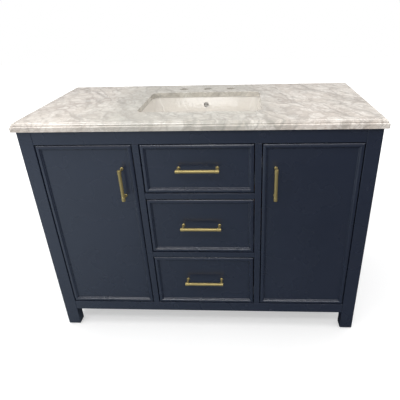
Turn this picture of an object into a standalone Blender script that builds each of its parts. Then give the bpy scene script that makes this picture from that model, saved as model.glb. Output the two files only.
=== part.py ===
"""Bathroom vanity cabinet: painted face-frame cabinet with two doors and three drawers, under a marble top.

Everything is placed from the datum: x = 0 on the cabinet's centre line, y = 0 on the front plane of the face
frame and growing towards the wall, z = 0 on the floor. The datum itself sits in the world so that the whole
object's box is centred on the world origin. All sizes are in metres.
"""

import math

import bmesh
import bpy
from mathutils import Matrix, Vector

# Overall sizes
CABINET_WIDTH = 1.2192
CABINET_DEPTH = 0.5461
CABINET_HEIGHT = 0.8844

# Clearances
TOUCH = 0.0003            # between pieces that rest on or are fixed to each other
FRONT_GAP = 0.003         # around each inset door and drawer front
SLIDE_GAP = 0.013         # between a drawer box and the side of its bay, filled by the slide

# Face frame and legs
POST_WIDTH = 0.050
POST_DEPTH = 0.038
LEG_HEIGHT = 0.088
TOP_RAIL_HEIGHT = 0.050
BOTTOM_RAIL_HEIGHT = 0.0434
RAIL_DEPTH = 0.022
MULLION_WIDTH = 0.023
DRAWER_BAY_WIDTH = 0.394
DRAWER_RAIL_HEIGHT = 0.023
TOP_DRAWER_OPENING = 0.188
EASED_EDGE = 0.0012

# Boards inside and at the back
BOARD = 0.015
SIDE_PANEL_RECESS = 0.006
BACK_PANEL = 0.009
BACK_RAIL_HEIGHT = 0.085
BACK_RAIL_DEPTH = 0.018
PLUMBING_OPENING_WIDTH = 0.300
PLUMBING_OPENING_HEIGHT = 0.250
PLUMBING_OPENING_SILL = 0.500
SHELF_HEIGHT = 0.430
SHELF_SETBACK = 0.060
SHELF_PLAY = 0.001
PARTITION_SHOULDER_DEPTH = 0.060

# Door and drawer fronts
FRONT_THICKNESS = 0.020
EDGE_SETBACK = 0.003      # outer edge of the moulding behind the face frame's front plane
RIDGE_PROUD = 0.0008      # crest of the moulding in front of that plane
ROUNDOVER_WIDTH = 0.0105
STEP_WIDTH = 0.004
STEP_LEDGE = 0.0008
FOOT_WIDTH = 0.0032
PANEL_RECESS = 0.0068     # flat panel behind the front plane

# Bar pulls
DRAWER_PULL_LENGTH = 0.150
DOOR_PULL_LENGTH = 0.120
PULL_STANDOFF = 0.024     # bar's axis in front of the front plane
BAR_RADIUS = 0.0048
COLLAR_RADIUS = 0.0065
COLLAR_LENGTH = 0.015
COLLAR_CHAMFER = 0.0012
STEM_RADIUS = 0.0042
ROSE_RADIUS = 0.0068
ROSE_THICKNESS = 0.003
DOOR_PULL_INSET = 0.0455  # bar's axis from the door's free edge
DOOR_PULL_DROP = 0.1455   # bar's middle below the top of the door opening
DRAWER_PULL_RISE = 0.003  # bar's axis above the middle of its opening

# Concealed door hinges
HINGE_FROM_END = 0.100
CUP_RADIUS = 0.0172
CUP_FLOOR_WEB = 0.0022    # wood left between a hinge cup and the face of the panel
CUP_FROM_EDGE = 0.024
CUP_WALL = 0.0012
WING_WIDTH = 0.024
WING_HEIGHT = 0.060
WING_THICKNESS = 0.0015
ARM_HEIGHT = 0.016
ARM_CLEARANCE = 0.0022    # hinge arm behind the cup's wings
ARM_BACK = 0.085
ARM_THICKNESS = 0.014
PLATE_HEIGHT = 0.052
PLATE_LENGTH = 0.040
HINGE_AXIS_INSET = 0.0015

# Drawer boxes and slides
BOX_WALL = 0.012
BOX_FLOOR = 0.008
BOX_LIFT = 0.014          # box bottom above the bottom of its opening
BOX_HEADROOM = 0.040      # box top below the top of its opening
MIDDLE_BOX_HEADROOM = 0.070
SERVICE_SPACE = 0.126     # depth kept free for pipes behind the drawer boxes
BOWL_CLEARANCE = 0.012
NOTCH_WIDTH = 0.170       # slot in the top drawer for the waste pipe
SLIDE_HEIGHT = 0.042
SLIDE_SHEET = 0.0015
SLIDE_LIFT = 0.010        # slide's bottom above the box's bottom
SLIDE_LIP = 0.0095
SLIDE_PLAY = 0.0015
SLIDE_END_GAP = 0.004

# Marble top
TOP_OVERHANG = 0.0127
SLAB_THICKNESS = 0.020
EDGE_HEIGHT = 0.030
FASCIA_HEIGHT = 0.014
NOSE_RADIUS = 0.004
NOSE_LEDGE = 0.001
RISER_HEIGHT = 0.0035
EDGE_INSET = 0.012
TOP_CORNER_RADIUS = 0.004
EDGE_STRIP_WIDTH = 0.055
ARC_STEPS = 6

# Sink and tap holes
CUTOUT_WIDTH = 0.446
CUTOUT_FRONT = 0.110
CUTOUT_CORNER = 0.028
TAP_LINE_FROM_BACK = 0.0780
TAP_LINE_BEHIND_CUTOUT = 0.0635
TAP_SPACING = 0.1016
TAP_HOLE_RADIUS = 0.0175
BOWL_REVEAL = 0.002
BOWL_DEPTH = 0.145
BOWL_WALL = 0.010
BOWL_DRAFT = math.radians(13)
BOWL_FILLET = 0.040
BOWL_FLANGE = 0.022
FLANGE_THICKNESS = 0.0095
DRAIN_RADIUS = 0.0225
OVERFLOW_RADIUS = 0.011
OVERFLOW_DROP = 0.032     # overflow's middle below the bowl's rim

# Places worked out from the sizes above
HALF_WIDTH = CABINET_WIDTH / 2
POST_INNER = HALF_WIDTH - POST_WIDTH
OPENING_TOP = CABINET_HEIGHT - TOP_RAIL_HEIGHT
OPENING_BOTTOM = LEG_HEIGHT + BOTTOM_RAIL_HEIGHT
BAY_HALF = DRAWER_BAY_WIDTH / 2
MULLION_OUTER = BAY_HALF + MULLION_WIDTH
LOWER_DRAWER_OPENING = (
    OPENING_TOP - OPENING_BOTTOM - TOP_DRAWER_OPENING - 2 * DRAWER_RAIL_HEIGHT
) / 2
UPPER_DRAWER_RAIL = OPENING_TOP - TOP_DRAWER_OPENING - DRAWER_RAIL_HEIGHT
LOWER_DRAWER_RAIL = UPPER_DRAWER_RAIL - LOWER_DRAWER_OPENING - DRAWER_RAIL_HEIGHT
MOULDING_WIDTH = ROUNDOVER_WIDTH + STEP_WIDTH + STEP_LEDGE + FOOT_WIDTH
SIDE_PANEL_OUTER = HALF_WIDTH - SIDE_PANEL_RECESS
SIDE_PANEL_INNER = SIDE_PANEL_OUTER - BOARD
PARTITION_OUTER = BAY_HALF + BOARD
UNDER_TOP = CABINET_HEIGHT - TOUCH
TOP_SURFACE = CABINET_HEIGHT + EDGE_HEIGHT
SLAB_UNDERSIDE = TOP_SURFACE - SLAB_THICKNESS
TAP_LINE = CABINET_DEPTH - TAP_LINE_FROM_BACK
CUTOUT_BACK = TAP_LINE - TAP_LINE_BEHIND_CUTOUT
CUTOUT_MIDDLE = (CUTOUT_FRONT + CUTOUT_BACK) / 2
BOWL_TOP = SLAB_UNDERSIDE - TOUCH
BOWL_BOTTOM = BOWL_TOP - BOWL_DEPTH - BOWL_WALL
CUP_DEPTH = FRONT_THICKNESS - PANEL_RECESS - CUP_FLOOR_WEB
BOX_FRONT = FRONT_THICKNESS + TOUCH
BOX_BACK = CABINET_DEPTH - SERVICE_SPACE
BOX_HALF = BAY_HALF - SLIDE_GAP
PULL_REACH = PULL_STANDOFF + COLLAR_RADIUS
DATUM_Y = (PULL_REACH - CABINET_DEPTH) / 2


def make_material(name, colour, roughness, metallic=0.0):
    material = bpy.data.materials.new(name)
    material.use_nodes = True
    shader = material.node_tree.nodes["Principled BSDF"]
    shader.inputs["Base Color"].default_value = (*colour, 1.0)
    shader.inputs["Roughness"].default_value = roughness
    shader.inputs["Metallic"].default_value = metallic
    return material


NAVY_PAINT = ("navy_paint", (0.034, 0.044, 0.068), 0.42)
BARE_BOARD = ("bare_board", (0.55, 0.42, 0.27), 0.60)
MARBLE = ("marble", (0.78, 0.73, 0.66), 0.18)
CERAMIC = ("glazed_ceramic", (0.82, 0.80, 0.76), 0.10)
BRASS = ("satin_brass", (0.50, 0.36, 0.12), 0.32, 1.0)
STEEL = ("zinc_plated_steel", (0.55, 0.56, 0.57), 0.35, 1.0)


# Placing: each piece's mesh is made in datum coordinates, then moved to its own origin

def add_empty(name, place, parent=None):
    empty = bpy.data.objects.new(name, None)
    empty.location = place
    empty.parent = parent
    bpy.context.collection.objects.link(empty)
    return empty


def add_piece(name, mesh, finish, parent, origin=None, eased=0.0):
    """Links a mesh given in datum coordinates; its origin is the parent's unless a place is given."""
    parent_place = Vector() if parent is DATUM else parent.location
    place = parent_place if origin is None else Vector(origin)
    mesh.transform(Matrix.Translation(-place))
    mesh.materials.append(make_material(f"{name}_{finish[0]}", *finish[1:]))
    mesh.shade_smooth()
    mesh.set_sharp_from_angle(angle=math.radians(32))
    piece = bpy.data.objects.new(name, mesh)
    piece.parent = parent
    piece.location = place - parent_place
    bpy.context.collection.objects.link(piece)
    if eased:
        bevel = piece.modifiers.new("eased_edges", "BEVEL")
        bevel.width = eased
        bevel.segments = 2
        bevel.limit_method = "ANGLE"
    return piece


# Mesh makers

def closed_mesh(bm, name="shape"):
    bmesh.ops.recalc_face_normals(bm, faces=bm.faces)
    mesh = bpy.data.meshes.new(name)
    bm.to_mesh(mesh)
    bm.free()
    return mesh


def box(low, high):
    """A rectangular board between two opposite corners."""
    bm = bmesh.new()
    bmesh.ops.create_cube(bm, size=1.0)
    low, high = Vector(low), Vector(high)
    bmesh.ops.scale(bm, vec=high - low, verts=bm.verts)
    bmesh.ops.translate(bm, vec=(low + high) / 2, verts=bm.verts)
    return closed_mesh(bm)


def stacked(loops, capped=True):
    """Skins a list of equal loops of points; the ends are capped, or joined to each other."""
    bm = bmesh.new()
    rings = [[bm.verts.new(point) for point in loop] for loop in loops]
    count = len(rings[0])
    pairs = list(zip(rings, rings[1:]))
    if not capped:
        pairs.append((rings[-1], rings[0]))
    for lower, upper in pairs:
        for i in range(count):
            j = (i + 1) % count
            bm.faces.new((lower[i], lower[j], upper[j], upper[i]))
    if capped:
        bm.faces.new(rings[0])
        bm.faces.new(rings[-1])
    return closed_mesh(bm)


def extruded(outline, axis, start, end):
    """A flat outline given a length along X, Y or Z; its two numbers are the other two axes in order."""
    slot = "XYZ".index(axis)

    def lifted(level):
        points = []
        for a, b in outline:
            point = [a, b]
            point.insert(slot, level)
            points.append(point)
        return points

    return stacked([lifted(start), lifted(end)])


def turned(profile, axis, centre, segments=24):
    """A turned solid: (distance along the axis, radius) pairs, closed on the axis at both ends."""
    slot = "XYZ".index(axis)
    loops = []
    for along, radius in profile:
        loop = []
        for i in range(segments):
            angle = 2 * math.pi * i / segments
            point = [radius * math.cos(angle), radius * math.sin(angle)]
            point.insert(slot, along)
            loop.append(Vector(point) + Vector(centre))
        loops.append(loop)
    return stacked(loops)


def combined(base, others, operation):
    """The base mesh with the other meshes fused to it or cut out of it."""
    pieces = []
    for mesh in (base, *others):
        piece = bpy.data.objects.new("operand", mesh)
        bpy.context.collection.objects.link(piece)
        pieces.append(piece)
    for other in pieces[1:]:
        step = pieces[0].modifiers.new("step", "BOOLEAN")
        step.operation = operation
        step.object = other
        step.solver = "EXACT"
    graph = bpy.context.evaluated_depsgraph_get()
    result = bpy.data.meshes.new_from_object(pieces[0].evaluated_get(graph))
    for piece in pieces:
        bpy.data.objects.remove(piece, do_unlink=True)
    return result


def fused(base, *others):
    return combined(base, others, "UNION")


def cut(base, *others):
    return combined(base, others, "DIFFERENCE")


def rounded_rectangle(half_x, front, back, front_radius, back_radius, level):
    """Points round a rectangle with arcs at its corners, anticlockwise seen from above."""
    corners = (
        (half_x - front_radius, front + front_radius, front_radius, -90),
        (half_x - back_radius, back - back_radius, back_radius, 0),
        (back_radius - half_x, back - back_radius, back_radius, 90),
        (front_radius - half_x, front + front_radius, front_radius, 180),
    )
    points = []
    for x, y, radius, start in corners:
        for step in range(ARC_STEPS + 1):
            angle = math.radians(start + 90 * step / ARC_STEPS)
            points.append((x + radius * math.cos(angle), y + radius * math.sin(angle), level))
    return points


def mirrored_sides():
    return (("left", -1), ("right", 1))


# The cabinet's frame and boards

def span_box(side, inner, outer, y_range, z_range):
    """A board on one side of the centre line, between two distances from it."""
    low_x, high_x = sorted((side * inner, side * outer))
    return box((low_x, y_range[0], z_range[0]), (high_x, y_range[1], z_range[1]))


def build_posts():
    for label, side in mirrored_sides():
        for end, y_range in (
            ("front", (0, POST_DEPTH)),
            ("rear", (CABINET_DEPTH - POST_DEPTH, CABINET_DEPTH)),
        ):
            mesh = span_box(side, POST_INNER, HALF_WIDTH, y_range, (0, UNDER_TOP))
            origin = (side * (POST_INNER + HALF_WIDTH) / 2, sum(y_range) / 2, 0)
            add_piece(f"{label}_{end}_post", mesh, NAVY_PAINT, DATUM, origin, EASED_EDGE)


def build_face_frame():
    rail_half = POST_INNER - TOUCH
    for name, bottom, top in (
        ("top_rail", OPENING_TOP, UNDER_TOP),
        ("bottom_rail", LEG_HEIGHT, OPENING_BOTTOM),
    ):
        mesh = box((-rail_half, 0, bottom), (rail_half, RAIL_DEPTH, top))
        add_piece(name, mesh, NAVY_PAINT, DATUM, (0, RAIL_DEPTH / 2, bottom), EASED_EDGE)
    for label, side in mirrored_sides():
        z_range = (OPENING_BOTTOM + TOUCH, OPENING_TOP - TOUCH)
        mesh = span_box(side, BAY_HALF, MULLION_OUTER, (0, RAIL_DEPTH), z_range)
        origin = (side * (BAY_HALF + MULLION_WIDTH / 2), RAIL_DEPTH / 2, z_range[0])
        add_piece(f"{label}_mullion", mesh, NAVY_PAINT, DATUM, origin, EASED_EDGE)
    bay = BAY_HALF - TOUCH
    for name, bottom in (("upper", UPPER_DRAWER_RAIL), ("lower", LOWER_DRAWER_RAIL)):
        mesh = box((-bay, 0, bottom), (bay, RAIL_DEPTH, bottom + DRAWER_RAIL_HEIGHT))
        origin = (0, RAIL_DEPTH / 2, bottom)
        add_piece(f"{name}_drawer_rail", mesh, NAVY_PAINT, DATUM, origin, EASED_EDGE)


def build_side_panels():
    y_range = (POST_DEPTH + TOUCH, CABINET_DEPTH - POST_DEPTH - TOUCH)
    for label, side in mirrored_sides():
        mesh = span_box(side, SIDE_PANEL_INNER, SIDE_PANEL_OUTER, y_range, (LEG_HEIGHT, UNDER_TOP))
        origin = (side * (SIDE_PANEL_INNER + BOARD / 2), CABINET_DEPTH / 2, LEG_HEIGHT)
        add_piece(f"{label}_side_panel", mesh, NAVY_PAINT, DATUM, origin)


def build_bottom_panel():
    """The cabinet's floor, notched round the four posts."""
    wide = SIDE_PANEL_INNER - TOUCH
    narrow = POST_INNER - TOUCH
    front, back = RAIL_DEPTH + TOUCH, CABINET_DEPTH - BACK_PANEL - TOUCH
    front_notch, back_notch = POST_DEPTH + TOUCH, CABINET_DEPTH - POST_DEPTH - TOUCH
    right_half = [
        (narrow, front),
        (narrow, front_notch),
        (wide, front_notch),
        (wide, back_notch),
        (narrow, back_notch),
        (narrow, back),
    ]
    outline = right_half + [(-x, y) for x, y in reversed(right_half)]
    mesh = extruded(outline, "Z", OPENING_BOTTOM - BOARD, OPENING_BOTTOM)
    add_piece("bottom_panel", mesh, NAVY_PAINT, DATUM, (0, CABINET_DEPTH / 2, OPENING_BOTTOM))


def build_back():
    """A back panel with a plumbing opening, and the fixing rail above it."""
    half = POST_INNER - TOUCH
    rail_bottom = CABINET_HEIGHT - BACK_RAIL_HEIGHT
    panel = box(
        (-half, CABINET_DEPTH - BACK_PANEL, LEG_HEIGHT), (half, CABINET_DEPTH, rail_bottom - TOUCH)
    )
    opening = box(
        (-PLUMBING_OPENING_WIDTH / 2, CABINET_DEPTH - 3 * BACK_PANEL, PLUMBING_OPENING_SILL),
        (
            PLUMBING_OPENING_WIDTH / 2,
            CABINET_DEPTH + BACK_PANEL,
            PLUMBING_OPENING_SILL + PLUMBING_OPENING_HEIGHT,
        ),
    )
    origin = (0, CABINET_DEPTH, LEG_HEIGHT)
    add_piece("back_panel", cut(panel, opening), BARE_BOARD, DATUM, origin)
    rail = box((-half, CABINET_DEPTH - BACK_RAIL_DEPTH, rail_bottom), (half, CABINET_DEPTH, UNDER_TOP))
    add_piece("back_rail", rail, BARE_BOARD, DATUM, (0, CABINET_DEPTH, rail_bottom))


def build_partitions():
    """Boards beside the drawers, with a high shoulder in front and cut down behind it to pass the bowl."""
    back = CABINET_DEPTH - BACK_RAIL_DEPTH - TOUCH
    notch = BOWL_BOTTOM - BOWL_CLEARANCE / 2
    outline = [
        (RAIL_DEPTH + TOUCH, OPENING_BOTTOM + TOUCH),
        (back, OPENING_BOTTOM + TOUCH),
        (back, notch),
        (PARTITION_SHOULDER_DEPTH, notch),
        (PARTITION_SHOULDER_DEPTH, UNDER_TOP),
        (RAIL_DEPTH + TOUCH, UNDER_TOP),
    ]
    for label, side in mirrored_sides():
        start, end = sorted((side * BAY_HALF, side * PARTITION_OUTER))
        mesh = extruded(outline, "X", start, end)
        origin = (side * (BAY_HALF + BOARD / 2), RAIL_DEPTH, OPENING_BOTTOM)
        add_piece(f"{label}_partition", mesh, BARE_BOARD, DATUM, origin)


def build_shelves():
    y_range = (SHELF_SETBACK, CABINET_DEPTH - POST_DEPTH - SHELF_PLAY)
    for label, side in mirrored_sides():
        inner, outer = PARTITION_OUTER + SHELF_PLAY, SIDE_PANEL_INNER - SHELF_PLAY
        z_range = (SHELF_HEIGHT, SHELF_HEIGHT + BOARD)
        mesh = span_box(side, inner, outer, y_range, z_range)
        origin = (side * (inner + outer) / 2, sum(y_range) / 2, SHELF_HEIGHT)
        add_piece(f"{label}_shelf", mesh, BARE_BOARD, DATUM, origin)


# Marble top and sink

def edge_profile():
    """(inset, height above the cabinet) up the moulded edge: fascia, nose, ledge, riser and ogee."""
    points = [(0.0, 0.0), (0.0, FASCIA_HEIGHT)]
    for step in range(1, ARC_STEPS + 1):
        angle = math.radians(90 * step / ARC_STEPS)
        points.append(
            (NOSE_RADIUS * (1 - math.cos(angle)), FASCIA_HEIGHT + NOSE_RADIUS * math.sin(angle))
        )
    ledge_inset = NOSE_RADIUS + NOSE_LEDGE
    ledge_height = FASCIA_HEIGHT + NOSE_RADIUS + NOSE_LEDGE / 4
    points.append((ledge_inset, ledge_height))
    riser_top = ledge_height + RISER_HEIGHT
    for step in range(ARC_STEPS + 1):
        share = step / ARC_STEPS
        swell = (share + math.sin(math.pi * share / 2)) / 2
        points.append(
            (
                ledge_inset + (EDGE_INSET - ledge_inset) * share,
                riser_top + (EDGE_HEIGHT - riser_top) * swell,
            )
        )
    return points


def build_marble_top():
    half = HALF_WIDTH + TOP_OVERHANG
    loops = []
    for inset, height in edge_profile():
        corner = max(TOP_CORNER_RADIUS - inset, TOP_CORNER_RADIUS / 4)
        loops.append(
            rounded_rectangle(
                half - inset,
                inset - TOP_OVERHANG,
                CABINET_DEPTH,
                corner,
                TOP_CORNER_RADIUS / 4,
                CABINET_HEIGHT + height,
            )
        )
    slab = stacked(loops)
    strip = EDGE_STRIP_WIDTH - TOP_OVERHANG
    pocket = box(
        (strip - HALF_WIDTH, strip, CABINET_HEIGHT - EDGE_HEIGHT),
        (HALF_WIDTH - strip, CABINET_DEPTH - strip, SLAB_UNDERSIDE),
    )
    clear = SLAB_THICKNESS / 2
    cutout = stacked(
        [
            rounded_rectangle(
                CUTOUT_WIDTH / 2, CUTOUT_FRONT, CUTOUT_BACK, CUTOUT_CORNER, CUTOUT_CORNER, level
            )
            for level in (SLAB_UNDERSIDE - clear, TOP_SURFACE + clear)
        ]
    )
    hole = [(SLAB_UNDERSIDE - clear, TAP_HOLE_RADIUS), (TOP_SURFACE + clear, TAP_HOLE_RADIUS)]
    tap_holes = [turned(hole, "Z", (i * TAP_SPACING, TAP_LINE, 0), 32) for i in (-1, 0, 1)]
    mesh = cut(slab, pocket, cutout, *tap_holes)
    add_piece("marble_top", mesh, MARBLE, DATUM, (0, CABINET_DEPTH / 2, CABINET_HEIGHT))


def bowl_loops(grow, depth, fillet):
    """Loops down a bowl's wall: straight with draft, then a quarter turn into the floor."""
    half = CUTOUT_WIDTH / 2 + BOWL_REVEAL + grow
    front, back = CUTOUT_FRONT - BOWL_REVEAL - grow, CUTOUT_BACK + BOWL_REVEAL + grow
    straight = depth - fillet * (1 - math.sin(BOWL_DRAFT))
    profile = [(0.0, 0.0), (straight * math.tan(BOWL_DRAFT), straight)]
    start_inset = profile[-1][0]
    for step in range(1, ARC_STEPS + 1):
        angle = BOWL_DRAFT + (math.pi / 2 - BOWL_DRAFT) * step / ARC_STEPS
        inset = start_inset + fillet * (math.cos(BOWL_DRAFT) - math.cos(angle))
        profile.append((inset, straight + fillet * (math.sin(angle) - math.sin(BOWL_DRAFT))))
    loops = []
    for inset, drop in profile:
        half_span = min(half, (back - front) / 2) - inset
        corner = min(CUTOUT_CORNER + grow + inset / 2, half_span - BOWL_WALL)
        loops.append(
            rounded_rectangle(half - inset, front + inset, back - inset, corner, corner, BOWL_TOP - drop)
        )
    return loops


def build_sink():
    """A glazed bowl with a flat flange that is bonded under the slab, a drain and an overflow."""
    inner = bowl_loops(0.0, BOWL_DEPTH, BOWL_FILLET)
    outer = bowl_loops(BOWL_WALL, BOWL_DEPTH + BOWL_WALL, BOWL_FILLET + BOWL_WALL)
    reach = BOWL_REVEAL + BOWL_FLANGE
    flange = [
        rounded_rectangle(
            CUTOUT_WIDTH / 2 + reach,
            CUTOUT_FRONT - reach,
            CUTOUT_BACK + reach,
            CUTOUT_CORNER + reach,
            CUTOUT_CORNER + reach,
            level,
        )
        for level in (BOWL_TOP, BOWL_TOP - FLANGE_THICKNESS)
    ]
    neck = [(x, y, BOWL_TOP - FLANGE_THICKNESS) for x, y, z in outer[0]]
    shell = stacked(list(reversed(inner)) + flange + [neck] + outer[1:])
    drain_ends = (BOWL_BOTTOM - BOWL_WALL, BOWL_BOTTOM + 2 * BOWL_WALL)
    drain = turned([(z, DRAIN_RADIUS) for z in drain_ends], "Z", (0, CUTOUT_MIDDLE, 0), 32)
    overflow_ends = (CUTOUT_BACK - 3 * BOWL_WALL, CUTOUT_BACK + 2 * BOWL_WALL)
    overflow_centre = (0, 0, BOWL_TOP - OVERFLOW_DROP)
    overflow = turned([(y, OVERFLOW_RADIUS) for y in overflow_ends], "Y", overflow_centre)
    mesh = cut(shell, drain, overflow)
    add_piece("sink_bowl", mesh, CERAMIC, DATUM, (0, CUTOUT_MIDDLE, BOWL_TOP))


# Door and drawer fronts, with their pulls

def moulding_section():
    """(inset from the front's edge, depth) round the moulding: roundover, two steps, then the plain back."""
    rise = EDGE_SETBACK + RIDGE_PROUD
    points = []
    for step in range(ARC_STEPS + 1):
        angle = math.radians(90 * step / ARC_STEPS)
        points.append(
            (ROUNDOVER_WIDTH * (1 - math.cos(angle)), EDGE_SETBACK - rise * math.sin(angle))
        )
    half_drop = (PANEL_RECESS - RIDGE_PROUD) / 2
    points.append((ROUNDOVER_WIDTH + STEP_WIDTH, half_drop))
    points.append((ROUNDOVER_WIDTH + STEP_WIDTH + STEP_LEDGE, half_drop))
    points.append((MOULDING_WIDTH, PANEL_RECESS))
    points.append((MOULDING_WIDTH, FRONT_THICKNESS))
    points.append((0.0, FRONT_THICKNESS))
    return points


def moulded_frame(x_range, z_range):
    loops = []
    for inset, depth in moulding_section():
        low_x, high_x = x_range[0] + inset, x_range[1] - inset
        low_z, high_z = z_range[0] + inset, z_range[1] - inset
        loops.append(
            [(low_x, depth, low_z), (high_x, depth, low_z), (high_x, depth, high_z), (low_x, depth, high_z)]
        )
    return stacked(loops, capped=False)


def flat_panel(x_range, z_range):
    edge = MOULDING_WIDTH + TOUCH
    return box(
        (x_range[0] + edge, PANEL_RECESS, z_range[0] + edge),
        (x_range[1] - edge, FRONT_THICKNESS, z_range[1] - edge),
    )


def bar_pull(length, axis, x, z):
    """A round bar with a collar at each end, on two stems with small roses."""
    end = length / 2
    half_profile = [
        (end, COLLAR_RADIUS - COLLAR_CHAMFER),
        (end - COLLAR_CHAMFER, COLLAR_RADIUS),
        (end - COLLAR_LENGTH + COLLAR_CHAMFER, COLLAR_RADIUS),
        (end - COLLAR_LENGTH, BAR_RADIUS),
    ]
    profile = half_profile + [(-along, radius) for along, radius in reversed(half_profile)]
    bar = turned(profile, axis, (x, -PULL_STANDOFF, z))
    seat = PANEL_RECESS - TOUCH
    stem_profile = [
        (seat, ROSE_RADIUS),
        (seat - ROSE_THICKNESS / 2, ROSE_RADIUS),
        (seat - ROSE_THICKNESS, STEM_RADIUS),
        (-PULL_STANDOFF, STEM_RADIUS),
    ]
    reach = end - COLLAR_LENGTH / 2
    stems = []
    for sign in (-1, 1):
        offset = Vector((sign * reach, 0, 0)) if axis == "X" else Vector((0, 0, sign * reach))
        stems.append(turned(stem_profile, "Y", Vector((x, 0, z)) + offset, 20))
    return fused(bar, *stems)


# Concealed hinges: a cup and its wings in the door, an arm on its plate in the cabinet

def hinge_heights():
    return (("upper", OPENING_TOP - HINGE_FROM_END), ("lower", OPENING_BOTTOM + HINGE_FROM_END))


def cup_pocket(x, z):
    """The bore in the back of a door that a hinge cup drops into."""
    floor = FRONT_THICKNESS - CUP_DEPTH - TOUCH
    ends = [(floor, CUP_RADIUS + TOUCH), (FRONT_THICKNESS + CUP_DEPTH, CUP_RADIUS + TOUCH)]
    return turned(ends, "Y", (x, 0, z), 32)


def hinge_cup(x, z):
    back = FRONT_THICKNESS + TOUCH + WING_THICKNESS
    floor = FRONT_THICKNESS - CUP_DEPTH
    cup = turned([(floor, CUP_RADIUS), (back, CUP_RADIUS)], "Y", (x, 0, z), 32)
    wings = box(
        (x - WING_WIDTH / 2, FRONT_THICKNESS + TOUCH, z - WING_HEIGHT / 2),
        (x + WING_WIDTH / 2, back, z + WING_HEIGHT / 2),
    )
    hollow_radius = CUP_RADIUS - CUP_WALL
    hollow = turned(
        [(floor + CUP_WALL, hollow_radius), (back + CUP_WALL, hollow_radius)], "Y", (x, 0, z), 32
    )
    return cut(fused(cup, wings), hollow)


def hinge_arm(side, z):
    """A cranked arm that passes the post, on a raised plate that is screwed to the side panel."""
    front = FRONT_THICKNESS + TOUCH + WING_THICKNESS + ARM_CLEARANCE
    post_face = POST_INNER - TOUCH
    back_step = POST_DEPTH + 2 * TOUCH
    outline = [
        (side * post_face, front),
        (side * (post_face - ARM_THICKNESS), front),
        (side * (post_face - ARM_THICKNESS), ARM_BACK),
        (side * (post_face + ARM_THICKNESS / 2), ARM_BACK),
        (side * (post_face + ARM_THICKNESS / 2), back_step),
        (side * post_face, back_step),
    ]
    arm = extruded(outline, "Z", z - ARM_HEIGHT / 2, z + ARM_HEIGHT / 2)
    plate = span_box(
        side,
        post_face,
        SIDE_PANEL_INNER - TOUCH,
        (ARM_BACK - PLATE_LENGTH, ARM_BACK),
        (z - PLATE_HEIGHT / 2, z + PLATE_HEIGHT / 2),
    )
    return fused(arm, plate)


def build_doors():
    for label, side in mirrored_sides():
        hinge_edge = POST_INNER - FRONT_GAP
        free_edge = MULLION_OUTER + FRONT_GAP
        axis_x = side * (POST_INNER - HINGE_AXIS_INSET)
        pivot = add_empty(f"{label}_door_hinge_axis", (axis_x, 0, OPENING_BOTTOM), DATUM)
        x_range = tuple(sorted((side * hinge_edge, side * free_edge)))
        z_range = (OPENING_BOTTOM + FRONT_GAP, OPENING_TOP - FRONT_GAP)
        cup_x = side * (hinge_edge - CUP_FROM_EDGE)
        pockets = [cup_pocket(cup_x, z) for end, z in hinge_heights()]
        frame = cut(moulded_frame(x_range, z_range), *pockets)
        add_piece(f"{label}_door_frame", frame, NAVY_PAINT, pivot)
        pockets = [cup_pocket(cup_x, z) for end, z in hinge_heights()]
        add_piece(f"{label}_door_panel", cut(flat_panel(x_range, z_range), *pockets), NAVY_PAINT, pivot)
        pull_x = side * (free_edge + DOOR_PULL_INSET)
        pull = bar_pull(DOOR_PULL_LENGTH, "Z", pull_x, OPENING_TOP - DOOR_PULL_DROP)
        add_piece(f"{label}_door_pull", pull, BRASS, pivot)
        for end, z in hinge_heights():
            add_piece(f"{label}_{end}_hinge_cup", hinge_cup(cup_x, z), STEEL, pivot)
            arm_origin = (side * POST_INNER, POST_DEPTH, z)
            add_piece(f"{label}_{end}_hinge_arm", hinge_arm(side, z), STEEL, DATUM, arm_origin)


# Drawers: a front, an open box behind it, and a pair of slides

def open_box(outline, cavity, bottom, top):
    body = extruded(outline, "Z", bottom, top)
    hollow = extruded(cavity, "Z", bottom + BOX_FLOOR, top + BOX_FLOOR)
    return cut(body, hollow)


def plain_box(bottom, top):
    def rectangle(wall):
        half, front, back = BOX_HALF - wall, BOX_FRONT + wall, BOX_BACK - wall
        return [(-half, front), (half, front), (half, back), (-half, back)]

    return open_box(rectangle(0.0), rectangle(BOX_WALL), bottom, top)


def notched_box(bottom, top):
    """A box that is U-shaped from above, so that it passes either side of the waste pipe."""
    def horseshoe(wall):
        half, front, back = BOX_HALF - wall, BOX_FRONT + wall, BOX_BACK - wall
        slot = NOTCH_WIDTH / 2 + wall
        slot_end = CUTOUT_MIDDLE - NOTCH_WIDTH / 2 - wall
        right_half = [(half, front), (half, back), (slot, back), (slot, slot_end)]
        return right_half + [(-x, y) for x, y in reversed(right_half)]

    return open_box(horseshoe(0.0), horseshoe(BOX_WALL), bottom, top)


def channel(side, web, lip, height, bottom, sheet):
    """(x, z) outline of a rolled channel whose back is at web and whose two lips reach to lip."""
    turn = math.copysign(sheet, lip - web)
    outline = [
        (web, bottom),
        (lip, bottom),
        (lip, bottom + sheet),
        (web + turn, bottom + sheet),
        (web + turn, bottom + height - sheet),
        (lip, bottom + height - sheet),
        (lip, bottom + height),
        (web, bottom + height),
    ]
    return [(side * x, z) for x, z in outline]


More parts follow.
